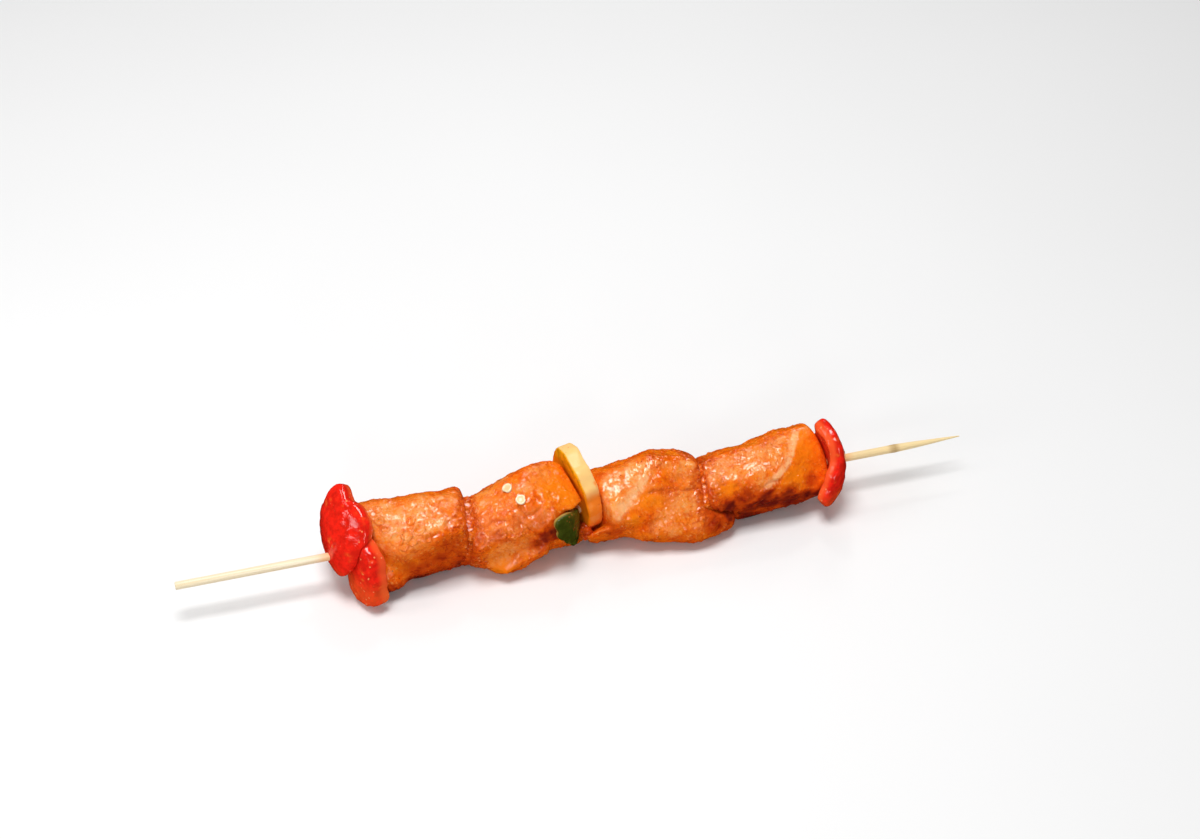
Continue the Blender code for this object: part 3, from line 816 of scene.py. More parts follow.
def chunk_masks(name, p, normal):
    """The masks that colour a chunk: pale meat with painted sheen, painted highlight streaks, paste,
    painted shade and clear marinade.
    """
    look = LOOKS[name]
    seed = look["seed"]
    near_seam = seams_of(name, p)
    pale = np.zeros(len(p))
    # Pale meat and painted sheen on facets that face the top lights.
    for direction, strength in look["pale"]:
        towards = normal @ (np.array(direction) / np.linalg.norm(direction))
        pale = np.maximum(pale, strength * smooth_step(towards, *PALE_SHEEN_FACING))
    paste = marinade_cover(p, pale, near_seam, seed)
    clear = marked(name, "clear", p, seed + 20)
    bare = np.maximum(clear, marked(name, "plain", p, seed + 20))
    pale = np.maximum(pale * (1 - bare), marked(name, "pale", p, seed + 22))
    paste = np.maximum(paste * (1 - 0.9 * bare), marked(name, "paste", p, seed + 24))
    paste *= 1 - 0.6 * pale
    # Painted shade on undersides and low parts: faces that look down and lie low are darkened.
    down = 1 - smooth_step(normal[:, 2], *UNDERSIDE)
    low = smooth_step(-p[:, 2], *look.get("low", CHUNK_SHADE_LOW))
    patchy = 0.85 + 0.35 * noise(p / 6.0, seed + 12)
    # Painted shade also falls along the seam between chunks and in the marks of painted shade.
    seam = 1 - smooth_step(near_seam, *SEAM_SHADE)
    deep = np.maximum(look["dark"] * down * low * patchy * (1 - bare), 0.45 * seam)
    deep = np.maximum(deep, marked(name, "deep", p, seed + 26)) * (1 - 0.7 * pale)
    # Painted highlight streaks along the ridges.
    band = band_mask(p, CHUNKS[name], look.get("bands", ()), seed + 9)
    return {"pale": pale, "band": band, "paste": paste, "deep": deep, "clear": clear}


def chunk_relief(p, grain, paste, seed):
    """Height of a chunk's lumps, fibres, marinade film and clots of paste, in mm."""
    along = np.array(grain) / np.linalg.norm(grain)
    across = np.cross(along, (0.3, -0.5, 0.81))
    across /= np.linalg.norm(across)
    other = np.cross(along, across)
    grain_frame = np.stack([along / FIBRE_LENGTH, across / FIBRE_WIDTH, other / FIBRE_WIDTH], axis=1)
    fibres = FIBRE_HEIGHT * noise(p @ grain_frame, seed + 2)
    lumps = waves(p, BROAD_LUMPS, seed + 3) + waves(p, SMALL_LUMPS, seed + 4)
    curl_height, curl_size = FILM_CURLS
    curls = 1 - np.clip(np.abs(noise(p / curl_size, seed + 7)) / CURL_SHARE, 0, 1)
    film = waves(p, FILM_WAVES, seed + 8) + curl_height * curls**2
    film += bumps(p, FILM_DROPS, seed + 10, DROP_FILL)
    clots = bumps(p, PASTE_CLOTS, seed + 5) + bumps(p, PASTE_GRAINS, seed + 6)
    return lumps + fibres * (1 - paste) + film * (1 - 0.5 * paste) + clots * paste


def dressed_chunk(name, directions, faces):
    """A chunk of chicken with its fibres, lumps and marinade."""
    spec, look = CHUNKS[name], LOOKS[name]
    seed = look["seed"]
    points = cast(spec["field"], spec["middle"], directions)
    made = numbered_mesh(name + "_meat", points, faces)
    masks = chunk_masks(name, points, normals_of(made))
    height = chunk_relief(points, look["grain"], masks["paste"], seed)
    rings, ring_edge = ring_relief(points, spec, look.get("rings", ()), seed + 14)
    crease, depth = crease_relief(points, spec, look["creases"], seed + 15)
    masks["paste"] = np.maximum(masks["paste"], 0.6 * ring_edge)
    # Painted shade in the creases.
    masks["deep"] = np.maximum(masks["deep"], 0.35 * crease)
    free = smooth_step(-cuts_of(name, points), FREE_FROM, FREE_TO)
    move_out(made, points, (height + rings - depth) * free)
    paint(made, **masks)
    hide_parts(name)
    return made


# The paste squeezed out between neighbours

# Each bead: the chunks on its two sides, where their seam is, its thickness in mm and its seed
BEADS = {
    "paste_1_2": ("chicken_1", "chicken_2", SEAM_1_2, seam_1_2, 3.8, 611),
    "paste_3_4": ("chicken_3", "chicken_4", SEAM_3_4, seam_3_4, 1.9, 622),
}
BEAD_PARTS, BEAD_SIDES = 260, 16
BEAD_SUNK, BEAD_STRETCH = 0.68, 1.15
BEAD_INSET, BEAD_BESIDE, BEAD_START = 0.15, 2.2, 9

# Each clot: its middle and radii in mm, and its seed
CLOTS = {"paste_2_3": ((0.0, -6.3, -6.0), (2.3, 3.0, 2.8), 633)}
CLOT_GRID = 24
CLOT_INSET = 0.2


def as_paste(made, deep):
    """Finishes a piece as marinade paste all over, with as much painted shade as its second argument says.
    """
    whole = np.ones(len(made.data.vertices))
    nothing = 0 * whole
    paint(made, pale=nothing, band=nothing, paste=whole, deep=deep * whole, clear=nothing)
    return made


def seam_place(seam, x, y, z):
    """x moved until the place lies on the seam."""
    for _ in range(6):
        x = x - seam(np.stack([x, y, z], axis=-1))
    return x


def bead_radius(first, second, start, seam, out):
    """How far out the skins of both chunks reach beside their seam, in each direction."""
    reach = []
    for chunk, side in ((first, -BEAD_BESIDE), (second, BEAD_BESIDE)):
        y, z = BEAD_START * out[:, 1], BEAD_START * out[:, 2]
        x = seam_place(seam, np.full(len(out), float(start)), y, z)
        middle = np.stack([x + side, 0 * x, 0 * x], axis=1)
        place = cast(CHUNKS[chunk]["field"], middle, out)
        reach.append(np.linalg.norm((place - middle)[:, 1:], axis=1))
    radius = np.minimum(*reach)
    for _ in range(3):
        radius = (radius + 0.5 * np.roll(radius, 1) + 0.5 * np.roll(radius, -1)) / 2
    return radius


def paste_bead(name, first, second, start, seam, thickness, seed):
    """A lumpy ring of marinade paste in the groove between two chunks."""
    angle = 2 * math.pi * np.arange(BEAD_PARTS) / BEAD_PARTS
    out = np.stack([np.zeros(BEAD_PARTS), np.cos(angle), np.sin(angle)], axis=1)
    radius = bead_radius(first, second, start, seam, out) - BEAD_SUNK * thickness
    y, z = radius * out[:, 1], radius * out[:, 2]
    x = seam_place(seam, np.full(BEAD_PARTS, float(start)), y, z)
    middle = np.stack([x, y, z], axis=1)
    size = thickness * (0.85 + 0.45 * noise(middle / 3.5, seed))
    points = []
    for i in range(BEAD_SIDES):
        turned = 2 * math.pi * i / BEAD_SIDES
        offset = out * math.cos(turned) + np.array([1.0, 0, 0]) * math.sin(turned) * BEAD_STRETCH
        points.append(middle + offset * size[:, None])
    points = np.concatenate(points)
    points[:, 2] = np.maximum(points[:, 2], -AXIS_HEIGHT)
    made = numbered_mesh(name, points, ring_faces(BEAD_SIDES, BEAD_PARTS, closed=True))
    clots = bumps(points, BEAD_CLOTS, seed + 1) + bumps(points, BEAD_GRAINS, seed + 2)
    move_out(made, points, clots - BEAD_INSET)
    # Painted shade on the paste, stronger lower down.
    return as_paste(made, 0.12 + 0.6 * smooth_step(-points[:, 2], -1, 13))


def paste_clot(name, middle, radii, seed):
    """A lump of marinade paste."""
    directions, faces = grid_ball(CLOT_GRID)
    points = np.array(middle) + directions * np.array(radii)
    points[:, 2] = np.maximum(points[:, 2], -AXIS_HEIGHT)
    made = numbered_mesh(name, points, faces)
    clots = bumps(points, LUMP_CLOTS, seed) + bumps(points, LUMP_GRAINS, seed + 1)
    move_out(made, points, clots - CLOT_INSET)
    # Painted shade over the whole clot, which sits in the gap between chunks 2 and 3.
    return as_paste(made, 0.55)


# The dressed slices of pepper


def slab_surface(slab, out, up, angle, grow=0.0):
    """Places on a slab: shares of its outline at angles, and shares of half its thickness along x."""
    radius = (outline_radius(angle, slab["outline"]) + grow) * out
    y = radius * np.cos(angle) - slab["slant"] * up / 2
    z = radius * np.sin(angle)
    slope_y, slope_z = bend_slopes(slab, y, z, 0.25)
    normal = np.stack([np.ones_like(y), -slope_y, -slope_z], axis=-1)
    normal /= np.linalg.norm(normal, axis=-1)[..., None]
    lift = (up * (slab["thickness"] / 2 + grow))[..., None]
    here = np.stack([slab["bend"](y, z), y, z], axis=-1) + normal * lift
    placed = np.array(slab["middle"]) + here @ turn(slab["turned"]).T
    placed[..., 2] = np.maximum(placed[..., 2], -AXIS_HEIGHT)
    return placed


def slab_profile(rim, square):
    """(share of the outline, share of half the thickness) for each ring from one face to the other."""
    flat = [((1 - rim) * i / FINE_FLAT_RINGS, 1.0) for i in range(1, FINE_FLAT_RINGS + 1)]
    turns = [math.pi / 2 * i / FINE_RIM_RINGS for i in range(1, FINE_RIM_RINGS)]
    front = flat + [(1 - rim + rim * math.sin(t) ** square, math.cos(t) ** square) for t in turns]
    return front + [(1.0, 0.0)] + [(out, -up) for out, up in reversed(front)]


def dressed_slab(name, seed, grow=0.0):
    """A slice of pepper with an uneven skin, and masks for its faces, rim and marinade."""
    slab = SLABS[name]
    profile = slab_profile(slab["rim"], RIM_SQUARENESS.get(name, USUAL_SQUARENESS))
    angle = np.tile(2 * math.pi * np.arange(FINE_SPOKES) / FINE_SPOKES, len(profile))
    out, up = np.repeat(np.transpose(profile), FINE_SPOKES, axis=1)
    out, up, angle = np.append(out, [0, 0]), np.append(up, [1, -1]), np.append(angle, [0, 0])
    points = slab_surface(slab, out, up, angle, grow)
    first, last = len(points) - 2, len(points) - 1
    after = np.roll(np.arange(FINE_SPOKES), -1)
    faces = ring_faces(len(profile), FINE_SPOKES)
    end = (len(profile) - 1) * FINE_SPOKES
    for i in range(FINE_SPOKES):
        faces.append(np.array([first, i, after[i]]))
        faces.append(np.array([last, end + after[i], end + i]))
    made = numbered_mesh(name + "_slice", points, faces)
    lumps = waves(points, PEPPER_LUMPS, seed) + waves(points, PEPPER_WAVES, seed + 1)
    rim = smooth_step(out, 1 - 1.1 * slab["rim"], 1 - 0.35 * slab["rim"])
    cover = 0.6 * noise(points / 5, seed + 2) + 0.5 * noise(points / 1.9, seed + 3)
    paste = smooth_step(cover, 0.25, 0.7)
    clots = bumps(points, PEPPER_CLOTS, seed + 4) * paste
    clots += bumps(points, PEPPER_DROPS, seed + 5, PEPPER_DROP_FILL)
    points = move_out(made, points, lumps + clots)
    low = smooth_step(-points[:, 2], *LOW_ON.get(name, USUAL_LOW))
    paint(made, front=(up + 1) / 2, rim=rim, paste=paste, low=low)
    if grow == 0.0:
        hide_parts(name)
    return made


def cut_by(made, cutter):
    """Cuts a piece by another, which is then removed."""
    cut = made.modifiers.new("cut", "BOOLEAN")
    cut.operation = "DIFFERENCE"
    cut.object = cutter
    cut.solver = "EXACT"
    with bpy.context.temp_override(object=made, active_object=made):
        bpy.ops.object.modifier_apply(modifier=cut.name)
    bpy.data.objects.remove(cutter)


# The skewer


def stick_profile():
    """(x, radius) pairs from the blunt end to the point."""
    start, end = -STICK_LENGTH / 2, STICK_LENGTH / 2
    body = []
    for x in np.arange(start + 2, end - POINT_LENGTH, 1.5):
        knot = KNOT_SWELL * np.exp(-(((x - KNOT_PLACE) / (KNOT_LENGTH / 2.5)) ** 2))
        body.append((x, STICK_RADIUS + knot))
    point = []
    for share in np.linspace(0.02, 1.0, 22):
        x = end - POINT_LENGTH * (1 - share)
        point.append((x, TIP_RADIUS + (STICK_RADIUS - TIP_RADIUS) * (1 - share**1.25)))
    blunt = [(start, STICK_RADIUS - END_BEVEL), (start + 0.12, STICK_RADIUS - 0.12)]
    return [*blunt, (start + END_BEVEL, STICK_RADIUS), *body, *point]


# Along the skewer, in mm: where the food starts and ends, and where the bamboo turns warmer
FOOD_FROM, FOOD_TO = -95, 102
WARM_FROM, WARM_TO = -40, 110
STAIN_REACH = 7
KNOT_MARK_WIDTH = 1.6
COARSE_FIBRE, THIN_FIBRE = 0.05, 0.02


def dressed_stick():
    """The bamboo skewer with lengthwise fibres, cut ends and a slight node."""
    rings = stick_profile()
    angle = 2 * math.pi * np.arange(FINE_STICK_SIDES) / FINE_STICK_SIDES
    points = []
    for x, radius in rings:
        ring = [np.full_like(angle, x), radius * np.cos(angle), radius * np.sin(angle)]
        points.append(np.stack(ring, axis=1))
    points = np.concatenate(points)
    fibre = noise(points * np.array([0.03, 2.2, 2.2]), 71) * COARSE_FIBRE
    fibre += noise(points * np.array([0.2, 3.5, 3.5]), 72) * THIN_FIBRE
    faces = ring_faces(len(rings), FINE_STICK_SIDES, outward=False)
    faces.append(np.arange(FINE_STICK_SIDES)[::-1])
    faces.append(np.arange(FINE_STICK_SIDES) + (len(rings) - 1) * FINE_STICK_SIDES)
    made = numbered_mesh("bamboo_stick", points, faces)
    made.data.set_sharp_from_angle(angle=math.radians(50))
    sides = points.copy()
    sides[:, 1:] *= (1 + fibre / STICK_RADIUS)[:, None]
    made.data.vertices.foreach_set("co", in_place(sides).ravel())
    made.data.update()
    node = np.exp(-(((points[:, 0] - KNOT_PLACE) / KNOT_MARK_WIDTH) ** 2))
    past_food = np.maximum(FOOD_FROM - points[:, 0], points[:, 0] - FOOD_TO)
    stain = 1 - smooth_step(past_food + 3 * noise(points / 4, 73), 0, STAIN_REACH)
    paint(made, node=node, stain=stain, warm=smooth_step(points[:, 0], WARM_FROM, WARM_TO))
    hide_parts("stick")
    return made


# The seeds


def seed_places():
    """(place, outward normal) of each seed on its chunk."""
    spec = CHUNKS[SEEDED]
    rays = np.array(SEED_RAYS, float)
    places = cast(spec["field"], spec["middle"], rays / np.linalg.norm(rays, axis=1)[:, None])
    step = 0.6
    found = []
    for place in places:
        ahead = [spec["field"](place + step * axis) for axis in np.eye(3)]
        behind = [spec["field"](place - step * axis) for axis in np.eye(3)]
        slope = np.array(ahead) - np.array(behind)
        found.append((place, slope / np.linalg.norm(slope)))
    return found


# (share of the radius, share of the thickness) from a seed's middle to below its rim
SEED_PROFILE = (
    (0.0, 0.30), (0.3, 0.31), (0.55, 0.36), (0.75, 0.46), (0.88, 0.48), (0.97, 0.36), (1.0, 0.1),
    (0.9, -0.3),
)
SEED_SPOKES = 48
SEED_LIFT = 0.35

# The nick in a seed's edge: its depth as a share of the radius, and its width and places in radians
NICK_DEPTH, NICK_WIDTH = 0.16, 0.35
NICK_AT, NICK_STEP = 1.1, 2.3


def dressed_seeds():
    """Flat round chilli seeds with a raised rim and a nick at one side."""
    points, faces, rims = [], [], []
    for number, (place, normal) in enumerate(seed_places()):
        side = np.cross(normal, (0.4, 1, 0.2))
        side /= np.linalg.norm(side)
        other = np.cross(normal, side)
        start = len(points)
        for out, up in SEED_PROFILE:
            for i in range(SEED_SPOKES):
                angle = 2 * math.pi * i / SEED_SPOKES
                past_nick = angle - NICK_AT - NICK_STEP * number
                nick = 1 - NICK_DEPTH * math.exp(-((past_nick / NICK_WIDTH) ** 2))
                egg = 1 + 0.07 * math.cos(angle - number) + 0.03 * math.cos(3 * angle)
                reach = SEED_RADIUS * out * nick * egg
                flat = side * math.cos(angle) + other * math.sin(angle)
                points.append(place + reach * flat + normal * (up * SEED_THICKNESS + SEED_LIFT))
                rims.append(smooth_step(out, 0.5, 0.85))
        faces += ring_faces(len(SEED_PROFILE), SEED_SPOKES, start)
        faces.append(start + (len(SEED_PROFILE) - 1) * SEED_SPOKES + np.arange(SEED_SPOKES)[::-1])
    made = numbered_mesh("seeds", np.array(points), faces)
    paint(made, rim=np.array(rims))
    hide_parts(SEEDED)
    return made


# Materials


class Shader:
    """A node material, built up a node at a time."""

    def __init__(self, name):
        self.material = bpy.data.materials.new(name)
        self.material.use_nodes = True
        self.nodes = self.material.node_tree.nodes
        self.links = self.material.node_tree.links
        self.surface = self.nodes["Principled BSDF"]
        self.place = self.nodes.new("ShaderNodeTexCoord").outputs["Object"]

    def put(self, socket, value):
        if hasattr(value, "is_output"):
            self.links.new(value, socket)
        else:
            socket.default_value = value

    def set(self, **values):
        for name, value in values.items():
            self.put(self.surface.inputs[name.replace("_", " ")], value)

    def node(self, kind, output, inputs=None, **settings):
        """One output of a new node that has these settings and inputs."""
        made = self.nodes.new("ShaderNode" + kind)
        for name, value in settings.items():
            setattr(made, name, value)
        for socket, value in (inputs or {}).items():
            self.put(made.inputs[socket], value)
        return made.outputs[output]

    def mask(self, name):
        return self.node("Attribute", "Fac", attribute_name=name)

    def stretched(self, scale):
        return self.node("Mapping", "Vector", {"Scale": scale, "Vector": self.place})

    def noise(self, scale, detail=3.0, rough=0.55, place=None, distortion=0.0):
        inputs = {"Scale": scale, "Detail": detail, "Roughness": rough, "Distortion": distortion}
        return self.node("TexNoise", "Fac", {**inputs, "Vector": place or self.place})

    def cells(self, scale):
        return self.node("TexVoronoi", "Distance", {"Scale": scale, "Vector": self.place})

    def range(self, value, low, high, to_low=0.0, to_high=1.0):
        inputs = {"From Min": low, "From Max": high, "To Min": to_low, "To Max": to_high, "Value": value}
        return self.node("MapRange", "Result", inputs, interpolation_type="SMOOTHSTEP")

    def math(self, kind, a, b):
        return self.node("Math", 0, {0: a, 1: b}, operation=kind)

    def times(self, a, b):
        return self.math("MULTIPLY", a, b)

    def mix(self, share, a, b):
        a, b = ((*colour, 1) if isinstance(colour, tuple) else colour for colour in (a, b))
        return self.node("Mix", 2, {0: share, 6: a, 7: b}, data_type="RGBA")

    def bump(self, height, strength, distance, under=None):
        inputs = {"Strength": strength, "Distance": distance, "Height": height}
        if under is not None:
            inputs["Normal"] = under
        return self.node("Bump", "Normal", inputs)


def chicken_material():
    """Raw chicken in wet orange marinade: pale cut faces with painted sheen, red paste, painted highlights
    and painted shade.
    """
    s = Shader("marinated_chicken_wet")
    broad = s.range(s.noise(150, 3), 0.35, 0.65)
    patch = s.range(s.noise(420, 4, 0.6), 0.38, 0.62)
    clump = s.range(s.noise(330, 5, 0.65, distortion=0.6), 0.50, 0.62)
    fine = s.range(s.noise(1300, 3, 0.6), 0.35, 0.65)
    net = s.range(s.noise(650, 2, 0.5, distortion=1.2), 0.44, 0.56)
    orange = s.mix(broad, (0.92, 0.185, 0.005), (0.88, 0.115, 0.003))
    orange = s.mix(s.times(patch, 0.35), orange, (0.93, 0.24, 0.010))
    orange = s.mix(s.times(clump, 0.65), orange, (0.72, 0.070, 0.003))
    stain = s.range(s.noise(760, 4, 0.7), 0.52, 0.64)
    orange = s.mix(s.times(stain, 0.50), orange, (0.62, 0.052, 0.003))
    gold = s.range(s.noise(900, 3, 0.6, distortion=0.4), 0.57, 0.68)
    orange = s.mix(s.times(gold, 0.60), orange, (0.96, 0.42, 0.09))
    orange = s.mix(s.times(s.mask("clear"), 0.75), orange, (0.98, 0.235, 0.006))
    # Pale meat with painted sheen: partly the meat's own paler tone, partly painted sheen on facets that
    # face the lights.
    meat = s.mix(net, (0.92, 0.37, 0.10), (0.93, 0.26, 0.025))
    meat = s.mix(s.times(fine, 0.35), meat, (0.93, 0.46, 0.19))
    meat = s.mix(s.times(clump, 0.5), meat, (0.86, 0.15, 0.012))
    pale = s.times(s.mask("pale"), s.range(s.noise(300, 4, 0.6), 0.25, 0.55))
    colour = s.mix(pale, orange, meat)
    # Painted highlight streaks along the ridges.
    band = s.times(s.mask("band"), s.range(s.noise(620, 4, 0.65), 0.34, 0.58, 0.35, 1.0))
    colour = s.mix(band, colour, (0.97, 0.50, 0.22))
    red = s.mix(fine, (0.42, 0.028, 0.003), (0.84, 0.130, 0.010))
    red = s.mix(s.range(s.noise(900, 2), 0.58, 0.68), red, (0.92, 0.34, 0.12))
    paste = s.times(s.mask("paste"), s.range(s.noise(520, 4, 0.65), 0.34, 0.56))
    colour = s.mix(s.times(paste, 0.9), colour, red)
    # Painted shade: dark reds, down to near black, where the shade mask is strong.
    deep = s.times(s.mask("deep"), s.range(s.noise(260, 3), 0.2, 0.6, 0.75, 1.0))
    dark = s.mix(clump, (0.56, 0.055, 0.004), (0.36, 0.022, 0.003))
    colour = s.mix(s.range(deep, 0.0, 0.75), colour, dark)
    colour = s.mix(s.range(deep, 0.6, 1.05), colour, (0.13, 0.008, 0.006))
    specks = s.range(s.cells(330), 0.05, 0.12, 1.0, 0.0)
    specks = s.times(specks, s.range(s.noise(90, 2), 0.48, 0.60))
    colour = s.mix(s.times(specks, 0.8), colour, (0.20, 0.022, 0.006))
    relief = s.math("ADD", s.times(net, 0.4), s.times(patch, 0.6))
    normal = s.bump(relief, 0.25, 0.00016)
    normal = s.bump(fine, 0.2, 0.00005, normal)
    drops = s.range(s.cells(640), 0.08, 0.42, 1.0, 0.0)
    drops = s.times(drops, s.range(s.noise(240, 2), 0.44, 0.58))
    wet = s.bump(drops, 0.7, 0.00035, normal)
    s.set(Base_Color=colour, Roughness=0.45, Normal=normal, Specular_IOR_Level=0.0)
    s.set(Subsurface_Weight=0.15, Subsurface_Radius=(1.0, 0.25, 0.06), Subsurface_Scale=0.0018)
    s.set(Coat_Weight=1.0, Coat_Roughness=0.05, Coat_IOR=1.5, Coat_Normal=wet)
    return s.material


def pepper_material(name, skin, flesh, rim, coated, speck, low_cover, skin_from, wet, skin_front):
    """Sliced pepper: skin on one face, paler flesh on the other and round the cut rim, and marinade.

    coated is the marinade's colour, low_cover its share low down, and skin_from where the skin starts and
    is full, from the back face at 0 to the front face at 1.
    """
    s = Shader(name)
    fine = s.range(s.noise(1500, 2), 0.35, 0.65)
    patch = s.range(s.noise(350, 4, 0.6), 0.35, 0.65)
    front = s.mask("front")
    if not skin_front:
        front = s.math("SUBTRACT", 1.0, front)
    on_skin = s.range(front, *skin_from)
    skin_colour = s.mix(patch, skin, tuple(0.7 * c for c in skin))
    flesh_colour = s.mix(s.times(patch, 0.6), flesh, rim)
    flesh_colour = s.mix(s.times(s.mask("rim"), 0.9), flesh_colour, rim)
    colour = s.mix(on_skin, flesh_colour, skin_colour)
    paste = s.times(s.mask("paste"), s.range(s.noise(480, 4, 0.65), 0.40, 0.60))
    colour = s.mix(s.times(paste, 0.75), colour, coated)
    low = s.times(s.mask("low"), s.range(s.noise(220, 3), 0.35, 0.55, 0.85, 1.0))
    colour = s.mix(s.times(low, low_cover), colour, coated)
    specks = s.range(s.cells(520), 0.10, 0.22, 1.0, 0.0)
    specks = s.times(specks, s.range(s.noise(150, 3, 0.6), 0.48, 0.60))
    colour = s.mix(s.times(specks, 0.8), colour, speck)
    normal = s.bump(s.math("ADD", patch, s.times(fine, 0.3)), 0.35, 0.00010)
    s.set(Base_Color=colour, Roughness=0.45, Normal=normal, Specular_IOR_Level=0.0)
    s.set(Subsurface_Weight=0.08, Subsurface_Radius=(1.0, 0.3, 0.1), Subsurface_Scale=0.0012)
    s.set(Coat_Weight=wet, Coat_Roughness=0.06, Coat_IOR=1.5, Coat_Normal=normal)
    return s.material


def bamboo_material():
    """Dry pale bamboo with lengthwise fibres, a brown node and a stain beside the food."""
    s = Shader("bamboo_grain")
    streak = s.range(s.noise(1.0, 4, 0.6, s.stretched((22, 1900, 1900))), 0.32, 0.68)
    dots = s.range(s.cells(2600), 0.15, 0.40)
    colour = s.mix(streak, (0.90, 0.74, 0.47), (0.97, 0.88, 0.68))
    colour = s.mix(s.times(s.math("SUBTRACT", 1.0, dots), 0.25), colour, (0.55, 0.36, 0.16))
    colour = s.mix(s.times(s.mask("warm"), 0.8), colour, (0.95, 0.72, 0.34))
    colour = s.mix(s.times(s.mask("node"), 0.75), colour, (0.42, 0.22, 0.06))
    colour = s.mix(s.times(s.mask("stain"), 0.65), colour, (0.90, 0.42, 0.12))
    normal = s.bump(streak, 0.4, 0.00012)
    s.set(Base_Color=colour, Roughness=0.55, Normal=normal)
    return s.material


def seed_material():
    s = Shader("seed_skin")
    patch = s.range(s.noise(900, 3), 0.35, 0.65)
    colour = s.mix(s.mask("rim"), (0.88, 0.62, 0.30), (0.95, 0.86, 0.60))
    colour = s.mix(s.times(patch, 0.35), colour, (0.82, 0.50, 0.20))
    s.set(Base_Color=colour, Roughness=0.35, Normal=s.bump(patch, 0.3, 0.0001))
    s.set(Subsurface_Weight=0.1, Subsurface_Radius=(1.0, 0.8, 0.5), Subsurface_Scale=0.0008)
    s.set(Coat_Weight=0.7, Coat_Roughness=0.12)
    return s.material


def table_material():
    s = Shader("pale_table")
    cloud = s.range(s.noise(3, 2), 0.3, 0.7)
    s.set(Base_Color=s.mix(cloud, (0.88, 0.88, 0.88), (0.90, 0.90, 0.90)), Roughness=0.7)
    return s.material


# The studio


# The table's half side and how far it lies below the frame's floor, in metres
TABLE_HALF, TABLE_BELOW = 4.0, 0.0002


def lay_table():
    bm = bmesh.new()
    bmesh.ops.create_grid(bm, x_segments=8, y_segments=8, size=TABLE_HALF)
    mesh = bpy.data.meshes.new("table")
    bm.to_mesh(mesh)
    bm.free()
    made = bpy.data.objects.new("table", mesh)
    made.location.z = -TABLE_BELOW
    bpy.context.scene.collection.objects.link(made)
    mesh.materials.append(table_material())
    made.visible_glossy = False


# Each light: its place and size in metres, and its watts. They all face the food.
LIGHTS = {
    "softbox_top": ((-0.08, 0.0, 0.95), (0.36, 0.36), 6.3),
    "softbox_left": ((-0.65, 0.12, 0.65), (0.22, 0.22), 0.8),
    "fill_left": ((-1.0, -0.32, 0.45), (0.30, 0.20), 1.2),
    "softbox_front": ((-0.35, -1.1, 0.60), (0.30, 0.20), 1.6),
    "glint_low": ((-0.12, -0.95, 0.26), (0.10, 0.06), 0.45),
    "glint_back": ((0.18, 0.62, 0.75), (0.08, 0.08), 0.5),
    "fill_back": ((0.5, 1.2, 0.9), (0.40, 0.40), 1.6),
}
WORLD_LIGHT = 0.26


def light_studio():
    for name, (place, size, watts) in LIGHTS.items():
        data = bpy.data.lights.new(name, "AREA")
        data.shape = "RECTANGLE"
        data.size, data.size_y = size
        data.energy = watts
        made = bpy.data.objects.new(name, data)
        made.location = place
        made.rotation_euler = (-Vector(place)).to_track_quat("-Z", "Y").to_euler()
        bpy.context.scene.collection.objects.link(made)
    world = bpy.data.worlds.new("studio")
    bpy.context.scene.world = world
    world.use_nodes = True
    background = world.node_tree.nodes["Background"]
    background.inputs["Color"].default_value = (1, 1, 1, 1)
    background.inputs["Strength"].default_value = WORLD_LIGHT
    world.cycles_visibility.glossy = False


# The camera, solved from the two ends of the skewer in the photo
CAMERA_AZIMUTH, CAMERA_ELEVATION = -14.7775, 44.0
CAMERA_PLACE = (-123.736, -495.942, 539.338)
CAMERA_LENS, CAMERA_SENSOR = 60.0, 36.0


def set_camera():
    data = bpy.data.cameras.new("camera")
    data.lens = CAMERA_LENS
    data.sensor_width = CAMERA_SENSOR
    data.clip_start = 0.01
    made = bpy.data.objects.new("camera", data)
    made.location = in_place(CAMERA_PLACE)
    made.rotation_euler = (math.radians(90 - CAMERA_ELEVATION), 0, math.radians(CAMERA_AZIMUTH))
    bpy.context.scene.collection.objects.link(made)
    bpy.context.scene.camera = made


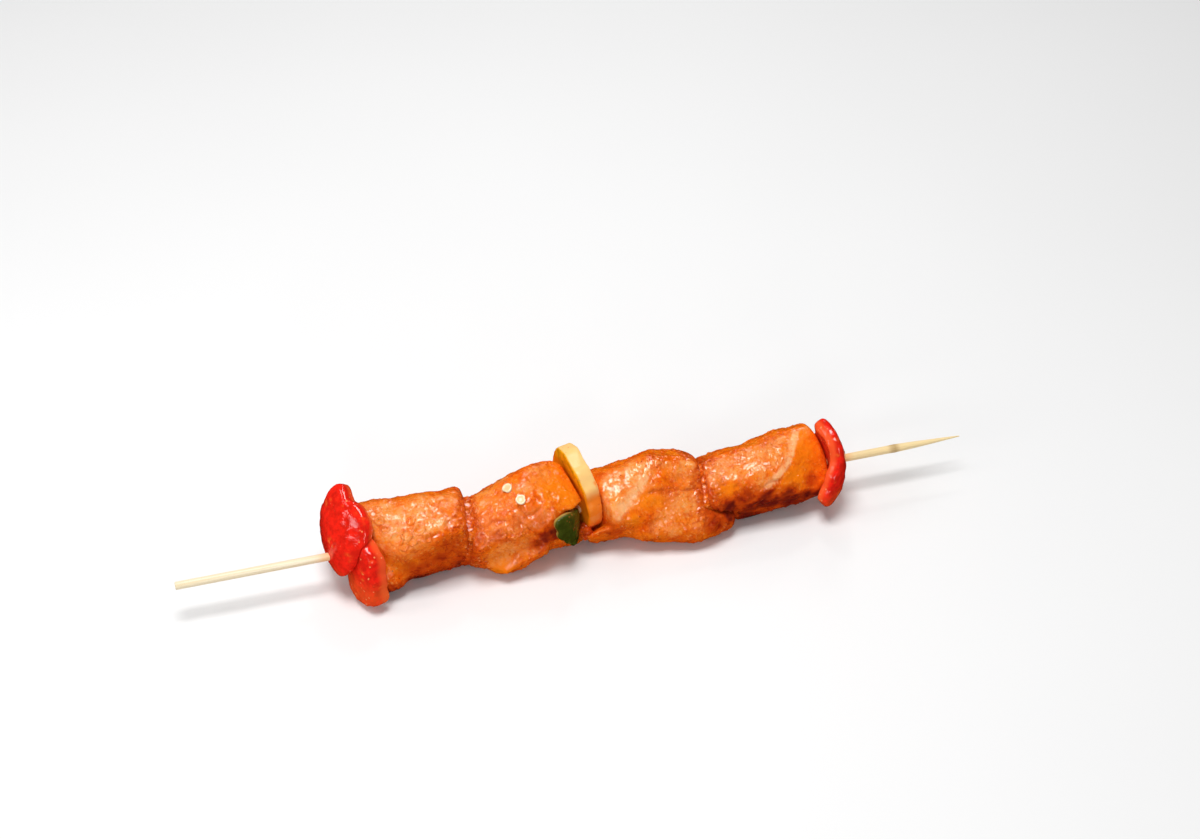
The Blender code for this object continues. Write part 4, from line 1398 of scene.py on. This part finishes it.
# The looks of the peppers, as pepper_material takes them
PEPPERS = {
    "red": {
        "skin": (0.95, 0.020, 0.009),
        "flesh": (0.95, 0.045, 0.015),
        "rim": (0.94, 0.10, 0.025),
        "coated": (0.93, 0.20, 0.03),
        "speck": (0.97, 0.40, 0.16),
        "low_cover": 0.30,
        "skin_from": (0.35, 0.75),
        "wet": 0.9,
    },
    "yellow": {
        "skin": (1.0, 0.40, 0.006),
        "flesh": (0.95, 0.52, 0.17),
        "rim": (0.97, 0.60, 0.22),
        "coated": (0.98, 0.20, 0.004),
        "speck": (0.80, 0.15, 0.02),
        "low_cover": 0.92,
        "skin_from": (0.86, 0.95),
        "wet": 0.22,
    },
    "green": {
        "skin": (0.055, 0.068, 0.006),
        "flesh": (0.10, 0.13, 0.02),
        "rim": (0.45, 0.28, 0.06),
        "coated": (0.10, 0.07, 0.008),
        "speck": (0.35, 0.10, 0.02),
        "low_cover": 0.0,
        "skin_from": (0.35, 0.75),
        "wet": 0.7,
    },
}

# Each slice: its kind, its material's name, whether its front face is the skin, and its seed
SLICES = {
    "pepper_red_end": ("red", "red_pepper_wet", False, 500),
    "pepper_red_front": ("red", "red_pepper_wet", False, 510),
    "pepper_green": ("green", "green_pepper_wet", True, 520),
    "pepper_yellow": ("yellow", "yellow_pepper_wet", False, 530),
    "pepper_red_point": ("red", "red_pepper_wet_front", True, 540),
}


def finish(piece, material):
    piece.data.materials.append(material)
    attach(piece, "root")


def dress():
    directions, faces = grid_ball(FINE_GRID)
    chicken = chicken_material()
    for name in CHUNKS:
        finish(dressed_chunk(name, directions, faces), chicken)
    for name, bead in BEADS.items():
        finish(paste_bead(name, *bead), chicken)
    for name, clot in CLOTS.items():
        finish(paste_clot(name, *clot), chicken)
    peppers = {}
    for name, (kind, look, skin_front, seed) in SLICES.items():
        if look not in peppers:
            peppers[look] = pepper_material(look, **PEPPERS[kind], skin_front=skin_front)
        piece = dressed_slab(name, seed)
        if name == "pepper_red_end":
            front_seed = SLICES["pepper_red_front"][-1]
            cut_by(piece, dressed_slab("pepper_red_front", front_seed, GAP_GROWTH))
        finish(piece, peppers[look])
    finish(dressed_stick(), bamboo_material())
    finish(dressed_seeds(), seed_material())


dress()
lay_table()
light_studio()
set_camera()
bpy.context.scene.view_settings.view_transform = "Standard"
